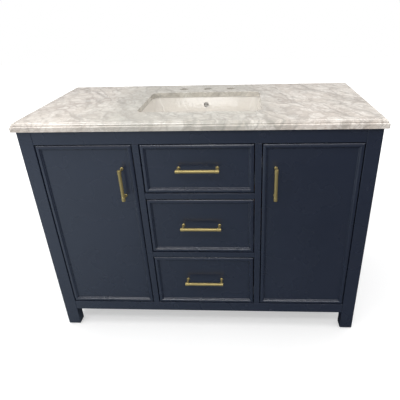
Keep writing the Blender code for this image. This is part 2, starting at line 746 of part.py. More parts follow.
def build_slides(label, box_bottom, runner):
    """A fixed outer channel on each partition, and an inner channel on the box that runs inside it."""
    bottom = box_bottom + SLIDE_LIFT
    fixed_web = BAY_HALF - TOUCH
    moving_web = BOX_HALF + TOUCH
    play = SLIDE_SHEET + SLIDE_PLAY
    for hand, side in mirrored_sides():
        fixed = extruded(
            channel(side, fixed_web, fixed_web - SLIDE_LIP, SLIDE_HEIGHT, bottom, SLIDE_SHEET),
            "Y",
            RAIL_DEPTH + SLIDE_END_GAP,
            BOX_BACK + SLIDE_END_GAP,
        )
        origin = (side * fixed_web, RAIL_DEPTH, bottom)
        add_piece(f"{label}_{hand}_slide_outer", fixed, STEEL, DATUM, origin)
        lip = moving_web + SLIDE_LIP - SLIDE_PLAY
        inner_height = SLIDE_HEIGHT - 2 * play
        moving = extruded(
            channel(side, moving_web, lip, inner_height, bottom + play, SLIDE_SHEET),
            "Y",
            BOX_FRONT + SLIDE_END_GAP,
            BOX_BACK,
        )
        add_piece(f"{label}_{hand}_slide_inner", moving, STEEL, runner)


def build_drawer(label, opening_bottom, opening_top, box_top, shape):
    runner = add_empty(f"{label}_runner", (0, 0, opening_bottom), DATUM)
    half = BAY_HALF - FRONT_GAP
    x_range, z_range = (-half, half), (opening_bottom + FRONT_GAP, opening_top - FRONT_GAP)
    add_piece(f"{label}_front_frame", moulded_frame(x_range, z_range), NAVY_PAINT, runner)
    add_piece(f"{label}_front_panel", flat_panel(x_range, z_range), NAVY_PAINT, runner)
    pull_height = (opening_bottom + opening_top) / 2 + DRAWER_PULL_RISE
    add_piece(f"{label}_pull", bar_pull(DRAWER_PULL_LENGTH, "X", 0, pull_height), BRASS, runner)
    box_bottom = opening_bottom + BOX_LIFT
    add_piece(f"{label}_box", shape(box_bottom, box_top), BARE_BOARD, runner)
    build_slides(label, box_bottom, runner)


def build_drawers():
    top_opening = UPPER_DRAWER_RAIL + DRAWER_RAIL_HEIGHT
    middle_opening = LOWER_DRAWER_RAIL + DRAWER_RAIL_HEIGHT
    build_drawer("top_drawer", top_opening, OPENING_TOP, BOWL_BOTTOM - BOWL_CLEARANCE, notched_box)
    build_drawer(
        "middle_drawer",
        middle_opening,
        UPPER_DRAWER_RAIL,
        UPPER_DRAWER_RAIL - MIDDLE_BOX_HEADROOM,
        plain_box,
    )
    build_drawer(
        "bottom_drawer", OPENING_BOTTOM, LOWER_DRAWER_RAIL, LOWER_DRAWER_RAIL - BOX_HEADROOM, plain_box
    )


for old in list(bpy.data.objects):
    bpy.data.objects.remove(old, do_unlink=True)

DATUM = add_empty("face_frame_datum", (0, DATUM_Y, 0))
build_posts()
build_face_frame()
build_side_panels()
build_bottom_panel()
build_back()
build_partitions()
build_shelves()
build_marble_top()
build_sink()
build_doors()
build_drawers()
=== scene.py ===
import math

import bmesh
import bpy
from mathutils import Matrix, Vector


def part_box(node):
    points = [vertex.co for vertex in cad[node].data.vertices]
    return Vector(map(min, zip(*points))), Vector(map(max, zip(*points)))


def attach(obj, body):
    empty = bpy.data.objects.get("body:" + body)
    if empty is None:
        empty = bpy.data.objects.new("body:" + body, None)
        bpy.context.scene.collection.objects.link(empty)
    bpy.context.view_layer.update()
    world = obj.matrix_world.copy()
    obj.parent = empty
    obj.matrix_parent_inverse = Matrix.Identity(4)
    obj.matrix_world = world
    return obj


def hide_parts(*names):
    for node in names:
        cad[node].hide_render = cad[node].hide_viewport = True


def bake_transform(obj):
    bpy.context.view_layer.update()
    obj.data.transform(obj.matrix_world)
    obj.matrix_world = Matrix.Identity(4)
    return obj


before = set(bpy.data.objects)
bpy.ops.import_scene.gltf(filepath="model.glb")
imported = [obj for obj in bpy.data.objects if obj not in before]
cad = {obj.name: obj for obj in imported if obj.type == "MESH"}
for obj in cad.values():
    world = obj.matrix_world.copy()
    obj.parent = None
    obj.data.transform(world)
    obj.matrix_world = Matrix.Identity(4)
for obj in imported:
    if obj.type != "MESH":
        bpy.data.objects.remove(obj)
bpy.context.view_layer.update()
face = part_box("top_rail")[0].y  # front plane of the face frame; y grows towards the wall
SIDES = (("left", -1), ("right", 1))


# ==== Camera, floor and light ====
# The cabinet stands on a plain pale floor and is seen from just right of its middle, from above the top.
# Two soft lights and a long strip hang over it, one more stands to its left and one further out in front.

scene = bpy.context.scene
scene.view_settings.view_transform = "Standard"

camera_data = bpy.data.cameras.new("camera")
camera_data.sensor_width = 36
camera_data.lens = 33.859
camera_data.shift_x = -0.06226
camera_data.shift_y = -0.04648
camera = bpy.data.objects.new("camera", camera_data)
camera.location = (0.1626, face - 1.1762, 1.2746)
camera.rotation_euler = [math.radians(turn) for turn in (63.781, 1.523, 2.656)]
scene.collection.objects.link(camera)
scene.camera = camera


def is_socket(value):
    return isinstance(value, bpy.types.NodeSocket)


def add_node(tree, kind, feeds=None, **settings):
    """Adds a node; feeds maps its inputs to values or to the sockets that drive them."""
    made = tree.nodes.new(kind)
    for name, value in settings.items():
        setattr(made, name, value)
    for name, value in (feeds or {}).items():
        if is_socket(value):
            tree.links.new(value, made.inputs[name])
        else:
            made.inputs[name].default_value = value
    return made


def new_material(name, **plain):
    """A material with its main shader; plain gives the sockets that are the same all over."""
    material = bpy.data.materials.new(name)
    material.use_nodes = True
    shader = material.node_tree.nodes["Principled BSDF"]
    for socket, value in plain.items():
        shader.inputs[socket.replace("_", " ")].default_value = value
    place = add_node(material.node_tree, "ShaderNodeTexCoord").outputs["Object"]
    return material, material.node_tree, shader, place


def drive(tree, shader, socket, source):
    tree.links.new(source, shader.inputs[socket])


def ramp(tree, source, stops):
    """A colour ramp through (place, colour) stops."""
    made = add_node(tree, "ShaderNodeValToRGB", {"Fac": source})
    elements = made.color_ramp.elements
    while len(elements) < len(stops):
        elements.new(0.5)
    for element, (where, colour) in zip(elements, stops):
        element.position = where
        element.color = (*colour, 1.0)
    return made.outputs["Color"]


def spread(tree, source, low, high, start=0.0, end=1.0):
    """Maps a value from low..high to start..end, and holds it there."""
    feeds = {"Value": source, "From Min": low, "From Max": high, "To Min": start, "To Max": end}
    return add_node(tree, "ShaderNodeMapRange", feeds).outputs["Result"]


def blended(tree, share, first, second):
    """Goes from the first colour to the second by a share from 0 to 1."""
    first, second = [value if is_socket(value) else (*value, 1.0) for value in (first, second)]
    return add_node(tree, "ShaderNodeMix", {0: share, 6: first, 7: second}, data_type="RGBA").outputs[2]


def maths(tree, operation, first, second=0.0):
    return add_node(tree, "ShaderNodeMath", {0: first, 1: second}, operation=operation).outputs[0]


def vector_maths(tree, operation, first, second=(0, 0, 0)):
    """Maths on vectors; a dot product or a length comes out as a value, and SCALE takes a factor."""
    feeds = {0: first, "Scale" if operation == "SCALE" else 1: second}
    result = 1 if operation in ("DOT_PRODUCT", "LENGTH") else 0
    return add_node(tree, "ShaderNodeVectorMath", feeds, operation=operation).outputs[result]


def tinted(tree, mask, amount, base, colour):
    """The base colour, taken towards another by an amount where the mask is full."""
    return blended(tree, maths(tree, "MULTIPLY", mask, amount), base, colour)


def noise(tree, place, scale, detail=2.0, roughness=0.5):
    feeds = {"Vector": place, "Scale": scale, "Detail": detail, "Roughness": roughness}
    return add_node(tree, "ShaderNodeTexNoise", feeds).outputs["Fac"]


def bump(tree, height, distance, strength=1.0):
    feeds = {"Height": height, "Distance": distance, "Strength": strength}
    return add_node(tree, "ShaderNodeBump", feeds).outputs["Normal"]


def rectangle(x0, y0, x1, y1, z):
    """The corners of a level rectangle, anticlockwise seen from above."""
    return [(x0, y0, z), (x1, y0, z), (x1, y1, z), (x0, y1, z)]


FLOOR_HALF = 7.0
FLOOR_DROP = 0.0003
floor_mesh = bpy.data.meshes.new("floor")
floor_corners = rectangle(-FLOOR_HALF, -FLOOR_HALF, FLOOR_HALF, FLOOR_HALF, -FLOOR_DROP)
floor_mesh.from_pydata(floor_corners, [], [(0, 1, 2, 3)])
floor = bpy.data.objects.new("floor", floor_mesh)
floor_paint, tree, shader, place = new_material("pale_floor", Roughness=0.6)
rays = add_node(tree, "ShaderNodeLightPath").outputs
across = add_node(tree, "ShaderNodeSeparateXYZ", {"Vector": place}).outputs
sealed = ramp(tree, noise(tree, place, 1.5), [(0.3, (0.70, 0.70, 0.70)), (0.7, (0.73, 0.73, 0.73))])
# Painted reflection: the floor's colour, as glossy rays alone see it, is painted bright on the left and dark
# on the right, so polished surfaces mirror a studio lit from the left
painted_reflection_stops = [
    (0.15, (0.52, 0.60, 0.67)),
    (0.50, (0.23, 0.275, 0.315)),
    (0.66, (0.105, 0.140, 0.170)),
    (0.85, (0.032, 0.040, 0.052)),
]
painted_room_reflection = ramp(tree, spread(tree, across["X"], -2.0, 1.0), painted_reflection_stops)
drive(tree, shader, "Base Color", blended(tree, rays["Is Glossy Ray"], sealed, painted_room_reflection))
lift = spread(tree, vector_maths(tree, "LENGTH", place), 1.0, 3.2, 0.42, 1.0)
drive(tree, shader, "Emission Strength", maths(tree, "MULTIPLY", rays["Is Camera Ray"], lift))
shader.inputs["Emission Color"].default_value = (1.0, 1.0, 1.0, 1.0)
floor_mesh.materials.append(floor_paint)
scene.collection.objects.link(floor)

world = bpy.data.worlds.new("studio")
scene.world = world
world.use_nodes = True
tree = world.node_tree
room = tree.nodes["Background"]
towards = add_node(tree, "ShaderNodeTexCoord").outputs["Generated"]
up = add_node(tree, "ShaderNodeSeparateXYZ", {"Vector": towards}).outputs["Z"]
glow_stops = [(0.40, (0.18, 0.18, 0.19)), (0.56, (0.25, 0.25, 0.26)), (0.85, (0.70, 0.70, 0.70))]
glow = ramp(tree, spread(tree, up, -1.0, 1.0), glow_stops)
seen = add_node(tree, "ShaderNodeLightPath").outputs["Is Camera Ray"]
tree.links.new(blended(tree, seen, glow, (1.0, 1.0, 1.0)), room.inputs["Color"])


def add_light(name, size, place, aim, power):
    """A rectangular soft light at a place, pointed at aim."""
    data = bpy.data.lights.new(name, "AREA")
    data.shape = "RECTANGLE"
    data.size, data.size_y = size
    data.energy = power
    light = bpy.data.objects.new(name, data)
    light.visible_camera = False
    light.location = place
    light.rotation_euler = (Vector(aim) - Vector(place)).to_track_quat("-Z", "Y").to_euler()
    scene.collection.objects.link(light)


add_light("left_over_light", (1.9, 0.8), (-1.25, -0.1, 2.6), (-0.5, 0.0, 0.9), 20)
add_light("right_over_light", (1.9, 0.8), (1.10, -0.1, 2.6), (0.5, 0.0, 0.9), 16)
add_light("strip_light", (2.6, 0.14), (-0.2, -1.55, 2.35), (0.0, face, 0.5), 14)
add_light("left_light", (0.30, 1.0), (-1.9, -1.7, 1.2), (-0.2, face, 0.6), 4)
add_light("front_light", (0.70, 1.10), (-0.30, -3.1, 1.95), (0.0, 0.1, 0.8), 10)


# ==== Painted frame: posts, rails, mullions, side panels and floor ====
# The corner posts run down as legs. Rails and mullions are doweled between them, and the side panels are
# let in behind the posts. All of it is hardwood sprayed with satin navy lacquer.


def new_group(name, inputs, outputs):
    """A shader node group with named inputs (name, kind, start value) and outputs (name, kind)."""
    group = bpy.data.node_groups.new(name, "ShaderNodeTree")
    for label, kind, value in inputs:
        socket = group.interface.new_socket(label, in_out="INPUT", socket_type="NodeSocket" + kind)
        socket.default_value = value
    for label, kind in outputs:
        group.interface.new_socket(label, in_out="OUTPUT", socket_type="NodeSocket" + kind)
    given = group.nodes.new("NodeGroupInput").outputs
    result = group.nodes.new("NodeGroupOutput").inputs
    return group, given, result


def use_group(tree, group, **feeds):
    return add_node(tree, "ShaderNodeGroup", feeds, node_tree=group).outputs


# Edges painted paler: partly where hands and cloths rub the finish thinner, partly a painted highlight where
# the edges catch the light
worn_and_highlit_edges, given, result = new_group(
    "worn_and_highlit_edges",
    [("Place", "Vector", (0, 0, 0)), ("Reach", "Float", 0.002), ("Patchiness", "Float", 9.0)],
    [("Mask", "Float")],
)
round_normal = add_node(worn_and_highlit_edges, "ShaderNodeBevel", {"Radius": given["Reach"]}, samples=4).outputs[0]
true_normal = add_node(worn_and_highlit_edges, "ShaderNodeNewGeometry").outputs["Normal"]
agreement = vector_maths(worn_and_highlit_edges, "DOT_PRODUCT", round_normal, true_normal)
turned_away = spread(worn_and_highlit_edges, agreement, 0.995, 0.80)
patches = spread(worn_and_highlit_edges, noise(worn_and_highlit_edges, given["Place"], given["Patchiness"], 4.0, 0.6), 0.35, 0.70)
worn_and_highlit_edges.links.new(maths(worn_and_highlit_edges, "MULTIPLY", turned_away, patches), result["Mask"])

# The slow drift in tone and gloss of any finish that was sprayed, fired or plated
uneven_finish, given, result = new_group(
    "uneven_finish",
    [("Place", "Vector", (0, 0, 0)), ("Broad", "Float", 3.0), ("Fine", "Float", 40.0)],
    [("Tone", "Float"), ("Gloss", "Float")],
)
broad = noise(uneven_finish, given["Place"], given["Broad"], 3.0, 0.55)
fine = noise(uneven_finish, given["Place"], given["Fine"], 2.0, 0.5)
uneven_finish.links.new(spread(uneven_finish, broad, 0.3, 0.7), result["Tone"])
uneven_finish.links.new(spread(uneven_finish, fine, 0.3, 0.7), result["Gloss"])


def finished(name, drift, tones, gloss, edge_wear_and_highlight=None, relief=None, **plain):
    """A material that drifts between two tones and two roughnesses, by a broad and a fine pattern.

    Its edges are made paler by (reach, patchiness, amount, colour): part light wear, part a painted
    highlight.
    relief is (scale, detail, roughness, distance, strength) of its grain.
    """
    material, tree, shader, place = new_material(name, **plain)
    finish = use_group(tree, uneven_finish, Place=place, Broad=drift[0], Fine=drift[1])
    tone = blended(tree, finish["Tone"], *tones)
    if edge_wear_and_highlight:
        reach, patchiness, amount, colour = edge_wear_and_highlight
        paled_edges = use_group(tree, worn_and_highlit_edges, Place=place, Reach=reach, Patchiness=patchiness)
        # edges painted paler: light wear and a painted highlight
        tone = tinted(tree, paled_edges["Mask"], amount, tone, colour)
    drive(tree, shader, "Base Color", tone)
    drive(tree, shader, "Roughness", spread(tree, finish["Gloss"], 0.0, 1.0, *gloss))
    if relief:
        drive(tree, shader, "Normal", bump(tree, noise(tree, place, *relief[:3]), *relief[3:]))
    return material


navy_paint = finished(
    "navy_paint",
    drift=(2.6, 9.0),
    tones=((0.0150, 0.0212, 0.0400), (0.0185, 0.0255, 0.0470)),
    gloss=(0.25, 0.29),
    # paler edges: light wear, and a painted highlight where the moulding edges catch the light
    edge_wear_and_highlight=(0.0006, 4.0, 0.14, (0.070, 0.082, 0.115)),
    relief=(170.0, 1.0, 0.5, 0.00003, 0.25),
    Specular_IOR_Level=0.8,
)


def dress(names, material):
    """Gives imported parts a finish; they keep their shape."""
    for name in names:
        for slot in cad[name].material_slots:
            slot.material = material


frame_parts = ["top_rail", "bottom_rail", "upper_drawer_rail", "lower_drawer_rail", "bottom_panel"]
for hand, side in SIDES:
    frame_parts += [f"{hand}_mullion", f"{hand}_side_panel"]
dress(frame_parts, navy_paint)


def skinned(loops, capped=True):
    """Skins equal loops of points in order; the ends are capped, or the last is joined to the first."""
    bm = bmesh.new()
    rings = [[bm.verts.new(point) for point in loop] for loop in loops]
    count = len(rings[0])
    pairs = list(zip(rings, rings[1:]))
    if not capped:
        pairs.append((rings[-1], rings[0]))
    for lower, upper in pairs:
        for i in range(count):
            j = (i + 1) % count
            bm.faces.new((lower[i], lower[j], upper[j], upper[i]))
    if capped:
        bm.faces.new(rings[0])
        bm.faces.new(rings[-1])
    bmesh.ops.recalc_face_normals(bm, faces=bm.faces)
    mesh = bpy.data.meshes.new("skin")
    bm.to_mesh(mesh)
    bm.free()
    return mesh


def board(low, high):
    """A rectangular board between two opposite corners."""
    return skinned([rectangle(low[0], low[1], high[0], high[1], z) for z in (low[2], high[2])])


def turned(profile, axis, centre, segments=48):
    """A turned shape: (distance along the axis, radius) pairs from one end to the other."""
    slot = "XYZ".index(axis)
    loops = []
    for along, radius in profile:
        loop = []
        for i in range(segments):
            angle = 2 * math.pi * i / segments
            point = [radius * math.cos(angle), radius * math.sin(angle)]
            point.insert(slot, along)
            loop.append(Vector(point) + Vector(centre))
        loops.append(loop)
    return skinned(loops)


def combined(base, others, operation):
    """The base mesh with the others joined to it (UNION) or cut out of it (DIFFERENCE)."""
    parts = []
    for mesh in (base, *others):
        part = bpy.data.objects.new("operand", mesh)
        scene.collection.objects.link(part)
        parts.append(part)
    for other in parts[1:]:
        step = parts[0].modifiers.new("step", "BOOLEAN")
        step.operation = operation
        step.object = other
        step.solver = "EXACT"
    graph = bpy.context.evaluated_depsgraph_get()
    result = bpy.data.meshes.new_from_object(parts[0].evaluated_get(graph))
    for part in parts:
        bpy.data.objects.remove(part, do_unlink=True)
    return result


def joined(meshes, name):
    """Several meshes as one, side by side."""
    bm = bmesh.new()
    for mesh in meshes:
        bm.from_mesh(mesh)
        bpy.data.meshes.remove(mesh)
    mesh = bpy.data.meshes.new(name)
    bm.to_mesh(mesh)
    bm.free()
    return mesh


def add_piece(name, mesh, materials, body, stands_for=(), eased=0.0, crease=32):
    """Links a finished mesh as a piece that moves with a body."""
    mesh.materials.clear()
    for material in materials:
        mesh.materials.append(material)
    mesh.shade_smooth()
    mesh.set_sharp_from_angle(angle=math.radians(crease))
    piece = bpy.data.objects.new(name, mesh)
    scene.collection.objects.link(piece)
    if eased:
        bevel = piece.modifiers.new("eased_edges", "BEVEL")
        bevel.width = eased
        bevel.segments = 2
        bevel.limit_method = "ANGLE"
        bevel.angle_limit = math.radians(crease)
    even = piece.modifiers.new("even_normals", "WEIGHTED_NORMAL")
    even.keep_sharp = True
    if body:
        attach(piece, body)
    if stands_for:
        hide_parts(*stands_for)
    return piece


GLIDE_THICKNESS = 0.0025
FOOT_CHAMFER = 0.0020
POST_EASE = 0.0014

nylon = finished(
    "grey_nylon",
    drift=(20.0, 200.0),
    tones=((0.20, 0.20, 0.20), (0.27, 0.27, 0.26)),
    gloss=(0.45, 0.60),
    Specular_IOR_Level=0.4,
)
glide_profile = [(0.0, 0.0085), (0.0006, 0.0098), (0.0015, 0.0105), (GLIDE_THICKNESS, 0.0108)]
glides = []
for hand, side in SIDES:
    for end in ("front", "rear"):
        name = f"{hand}_{end}_post"
        low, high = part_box(name)
        loops = []
        chamfer_top = GLIDE_THICKNESS + FOOT_CHAMFER
        for inset, z in ((FOOT_CHAMFER, GLIDE_THICKNESS), (0.0, chamfer_top), (0.0, high.z)):
            loops.append(rectangle(low.x + inset, low.y + inset, high.x - inset, high.y - inset, z))
        leg = f"{hand}_{end}_leg"
        add_piece(leg, skinned(loops), [navy_paint], "cabinet", [name], eased=POST_EASE)
        middle = (low + high) / 2
        glides.append(turned(glide_profile, "Z", (middle.x, middle.y, 0), 32))
add_piece("leg_glides", joined(glides, "leg_glides"), [nylon], "cabinet")


# ==== Carcass boards: back panel, back rail, partitions and shelves ====
# Birch plywood under a clear lacquer. The faces show long flowing grain, and the cut edges show the plies.
# The back panel is stapled on round its edge, and the shelves lie loose on steel pins.

board_grain, given, result = new_group(
    "board_grain",
    [
        ("Place", "Vector", (0, 0, 0)),
        ("Along", "Vector", (1, 0, 0)),
        ("Fineness", "Float", 55.0),
        ("Length", "Float", 2.2),
        ("Pale", "Color", (0.6, 0.45, 0.28, 1)),
        ("Dark", "Color", (0.4, 0.28, 0.15, 1)),
    ],
    [("Colour", "Color"), ("Relief", "Float"), ("End", "Float")],
)
tree = board_grain
lengthwise = vector_maths(tree, "DOT_PRODUCT", given["Place"], given["Along"])
less = maths(tree, "SUBTRACT", given["Length"], given["Fineness"])
along_part = vector_maths(tree, "SCALE", given["Along"], maths(tree, "MULTIPLY", lengthwise, less))
across_part = vector_maths(tree, "SCALE", given["Place"], given["Fineness"])
stretched = vector_maths(tree, "ADD", along_part, across_part)
bands = noise(tree, stretched, 0.35, 3.0, 0.6)
fibres = noise(tree, stretched, 4.0, 4.0, 0.7)
grain = maths(tree, "ADD", maths(tree, "MULTIPLY", bands, 0.65), maths(tree, "MULTIPLY", fibres, 0.35))
tree.links.new(blended(tree, spread(tree, grain, 0.38, 0.62), given["Pale"], given["Dark"]), result["Colour"])
tree.links.new(fibres, result["Relief"])
normal = add_node(tree, "ShaderNodeNewGeometry").outputs["Normal"]
facing = maths(tree, "ABSOLUTE", vector_maths(tree, "DOT_PRODUCT", normal, given["Along"]))
tree.links.new(spread(tree, facing, 0.6, 0.8), result["End"])

PLY_THICKNESS = 0.0018


def plywood(name, flat, along):
    """Plywood whose faces look along flat, with the face grain running along another axis."""
    material, tree, shader, place = new_material(name, Specular_IOR_Level=0.4)
    tones = {"Pale": (0.64, 0.47, 0.29, 1), "Dark": (0.50, 0.34, 0.19, 1)}
    grain = use_group(tree, board_grain, Place=place, Along=along, Fineness=60.0, Length=1.8, **tones)
    normal = add_node(tree, "ShaderNodeNewGeometry").outputs["Normal"]
    facing = maths(tree, "ABSOLUTE", vector_maths(tree, "DOT_PRODUCT", normal, flat))
    ply = maths(tree, "PINGPONG", vector_maths(tree, "DOT_PRODUCT", place, flat), PLY_THICKNESS)
    glue_lines = maths(tree, "DIVIDE", ply, PLY_THICKNESS)
    plies = ramp(tree, glue_lines, [(0.42, (0.60, 0.43, 0.26)), (0.58, (0.30, 0.18, 0.09))])
    pores = spread(tree, noise(tree, place, 700.0, 2.0), 0.4, 0.7)
    cut_edge = blended(tree, pores, plies, (0.42, 0.29, 0.17))
    colour = blended(tree, spread(tree, facing, 0.7, 0.5), grain["Colour"], cut_edge)
    drive(tree, shader, "Base Color", colour)
    drive(tree, shader, "Roughness", spread(tree, grain["Relief"], 0.3, 0.7, 0.42, 0.58))
    drive(tree, shader, "Normal", bump(tree, grain["Relief"], 0.0001, 0.5))
    return material


X_AXIS, Y_AXIS, Z_AXIS = (1, 0, 0), (0, 1, 0), (0, 0, 1)
dress(["left_partition", "right_partition"], plywood("upright_plywood", X_AXIS, Z_AXIS))
dress(["left_shelf", "right_shelf"], plywood("level_plywood", Z_AXIS, X_AXIS))
back_plywood = plywood("back_plywood", Y_AXIS, X_AXIS)
dress(["back_rail"], back_plywood)

plated_steel = finished(
    "plated_steel",
    drift=(14.0, 120.0),
    tones=((0.50, 0.51, 0.52), (0.60, 0.60, 0.60)),
    gloss=(0.24, 0.36),
    # brighter edges: light wear, and a painted highlight where the edges catch the light
    edge_wear_and_highlight=(0.0006, 70.0, 0.5, (0.80, 0.80, 0.80)),
    relief=(900.0, 2.0, 0.5, 0.00002, 0.4),
    Metallic=1.0,
)

BACK_RECESS = 0.0012
OPENING_HALF = 0.150
OPENING_BOTTOM = 0.500
OPENING_TOP = 0.750
OPENING_CORNER = 0.018


def row_tree():
    """Geometry nodes that set like shapes in a row, each turned about its own axis by chance."""
    tree = bpy.data.node_groups.new("row_of_fixings", "GeometryNodeTree")
    inputs = {}
    for label, kind in (
        ("Shape", "Object"),
        ("First", "Vector"),
        ("Step", "Vector"),
        ("Count", "Int"),
        ("Facing", "Vector"),
        ("Most Turn", "Float"),
        ("Seed", "Int"),
        ("Finish", "Material"),
    ):
        socket = tree.interface.new_socket(label, in_out="INPUT", socket_type="NodeSocket" + kind)
        inputs[label] = socket.identifier
    tree.interface.new_socket("Row", in_out="OUTPUT", socket_type="NodeSocketGeometry")
    given = tree.nodes.new("NodeGroupInput").outputs
    result = tree.nodes.new("NodeGroupOutput").inputs
    feeds = {"Count": given["Count"], "Start Location": given["First"], "Offset": given["Step"]}
    line = add_node(tree, "GeometryNodeMeshLine", feeds).outputs["Mesh"]
    shape = add_node(tree, "GeometryNodeObjectInfo", {"Object": given["Shape"]}).outputs["Geometry"]
    chance = add_node(tree, "FunctionNodeRandomValue", {2: 0.0, 3: given["Most Turn"], "Seed": given["Seed"]})
    about = add_node(tree, "ShaderNodeCombineXYZ", {"Z": chance.outputs[1]}).outputs[0]
    turn = add_node(tree, "FunctionNodeEulerToRotation", {"Euler": about}).outputs[0]
    facing = add_node(tree, "FunctionNodeEulerToRotation", {"Euler": given["Facing"]}).outputs[0]
    feeds = {"Rotation": facing, "Rotate By": turn}
    both = add_node(tree, "FunctionNodeRotateRotation", feeds, rotation_space="LOCAL").outputs[0]
    feeds = {"Points": line, "Instance": shape, "Rotation": both}
    placed = add_node(tree, "GeometryNodeInstanceOnPoints", feeds).outputs["Instances"]
    real = add_node(tree, "GeometryNodeRealizeInstances", {"Geometry": placed}).outputs["Geometry"]
    finished = add_node(tree, "GeometryNodeSetMaterial", {"Geometry": real, "Material": given["Finish"]})
    tree.links.new(finished.outputs["Geometry"], result["Row"])
    return tree, inputs


row_nodes, row_inputs = row_tree()
FACING = {
    "+X": (0, math.pi / 2, 0),
    "-X": (0, -math.pi / 2, 0),
    "+Y": (-math.pi / 2, 0, 0),
    "+Z": (0, 0, 0),
}


def fixing_rows(name, rows, shape_mesh, body, most_turn=2 * math.pi):
    """One steel piece made of rows of a shape; each row is (first place, step, count, facing)."""
    shape = bpy.data.objects.new("shape", shape_mesh)
    scene.collection.objects.link(shape)
    meshes = []
    for seed, (first, step, count, facing) in enumerate(rows):
        holder = bpy.data.objects.new("holder", bpy.data.meshes.new("holder"))
        scene.collection.objects.link(holder)
        row = holder.modifiers.new("row", "NODES")
        row.node_group = row_nodes
        values = {
            "Shape": shape,
            "First": first,
            "Step": step,
            "Count": count,
            "Facing": FACING[facing],
            "Most Turn": most_turn,
            "Seed": seed,
            "Finish": plated_steel,
        }
        for label, value in values.items():
            row[row_inputs[label]] = value
        graph = bpy.context.evaluated_depsgraph_get()
        meshes.append(bpy.data.meshes.new_from_object(holder.evaluated_get(graph)))
        bpy.data.objects.remove(holder, do_unlink=True)
    bpy.data.objects.remove(shape, do_unlink=True)
    add_piece(name, joined(meshes, name), [plated_steel], body)


def rounded_loop(half_x, front, back, front_radius, back_radius, level, steps=12):
    """Points round a rectangle with arcs at its corners, anticlockwise seen from above."""
    corners = (
        (half_x - front_radius, front + front_radius, front_radius, -90),
        (half_x - back_radius, back - back_radius, back_radius, 0),
        (back_radius - half_x, back - back_radius, back_radius, 90),
        (front_radius - half_x, front + front_radius, front_radius, 180),
    )
    points = []
    for x, y, radius, start in corners:
        for step in range(steps + 1):
            angle = math.radians(start + 90 * step / steps)
            points.append((x + radius * math.cos(angle), y + radius * math.sin(angle), level))
    return points


low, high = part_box("back_panel")
high.y -= BACK_RECESS
opening = rounded_loop(OPENING_HALF, OPENING_BOTTOM, OPENING_TOP, OPENING_CORNER, OPENING_CORNER, 0.0, 8)
cutter = [[(x, y, z) for x, z, level in opening] for y in (low.y - 0.01, high.y + 0.01)]
panel = combined(board(low, high), [skinned(cutter)], "DIFFERENCE")
add_piece("back_board", panel, [back_plywood], "cabinet", ["back_panel"], eased=0.0006)

STAPLE_MARGIN = 0.008
STAPLES_ACROSS = 15
STAPLES_UP = 9
staple = board((-0.0055, -0.0006, -0.0004), (0.0055, 0.0006, 0.0003))
step_x = (high.x - low.x - 2 * STAPLE_MARGIN) / (STAPLES_ACROSS - 1)
step_z = (high.z - low.z - 2 * STAPLE_MARGIN) / (STAPLES_UP - 1)
rows = []
for z in (low.z + STAPLE_MARGIN, high.z - STAPLE_MARGIN):
    rows.append(((low.x + STAPLE_MARGIN, high.y, z), (step_x, 0, 0), STAPLES_ACROSS, "+Y"))
for x in (low.x + STAPLE_MARGIN, high.x - STAPLE_MARGIN):
    rows.append(((x, high.y, low.z + STAPLE_MARGIN + step_z), (0, 0, step_z), STAPLES_UP - 2, "+Y"))
fixing_rows("back_staples", rows, staple, "cabinet", most_turn=0.5)

PIN_RADIUS = 0.0025
PIN_INSET = 0.05
shelf_low, shelf_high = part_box("right_shelf")
pin_profile = [
    (0.0, 0.0042), (0.0008, 0.0042), (0.0012, 0.0036), (0.0012, PIN_RADIUS),
    (0.0068, PIN_RADIUS), (0.0074, PIN_RADIUS * 0.7), (0.0074, PIN_RADIUS * 0.3),
]
pin_rows = []
for hand, side in SIDES:
    walls = (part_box("right_partition")[1].x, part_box("right_side_panel")[0].x)
    for wall, way in zip(walls, (side, -side)):
        first = (side * wall, shelf_low.y + PIN_INSET, shelf_low.z - PIN_RADIUS - 0.0002)
        step = (0, shelf_high.y - shelf_low.y - 2 * PIN_INSET, 0)
        pin_rows.append((first, step, 2, "+X" if way > 0 else "-X"))
fixing_rows("shelf_pins", pin_rows, turned(pin_profile, "Z", (0, 0, 0), 16), "cabinet")


# ==== Door and drawer fronts ====
# Each front is four mitred lengths of moulding glued round a flat panel, sprayed navy with the frame. The
# moulding is rounded outside, has a small crest, and steps down to the panel in an ogee and a cove.


FRONT_THICKNESS = 0.020
EDGE_SETBACK = 0.003
CREST = 0.0008
ROUNDOVER = 0.0105
OGEE = 0.0040
QUIRK = 0.0008
COVE = 0.0032
PANEL_RECESS = 0.0068
MITRE_GAP = 0.00008


def quarter_turn(steps, first=1):
    """The angles up to a right angle in even steps."""
    return [math.pi / 2 * step / steps for step in range(first, steps + 1)]


def moulding_section():
    """(inset, depth) round one length of moulding, starting at its outer edge."""
    points = []
    for angle in quarter_turn(14, 0):
        depth = EDGE_SETBACK - (EDGE_SETBACK + CREST) * math.sin(angle)
        points.append((ROUNDOVER * (1 - math.cos(angle)), depth))
    step_depth = (PANEL_RECESS - CREST) / 2
    for step in range(1, 11):
        share = step / 10
        fall = share * share * (3 - 2 * share)
        points.append((ROUNDOVER + OGEE * share, -CREST + (step_depth + CREST) * fall))
    points.append((ROUNDOVER + OGEE + QUIRK, step_depth))
    for angle in quarter_turn(8):
        inset = ROUNDOVER + OGEE + QUIRK + COVE * (1 - math.cos(angle))
        points.append((inset, step_depth + (PANEL_RECESS - step_depth) * math.sin(angle)))
    width = ROUNDOVER + OGEE + QUIRK + COVE
    points += [(width, FRONT_THICKNESS), (0.0, FRONT_THICKNESS)]
    return points


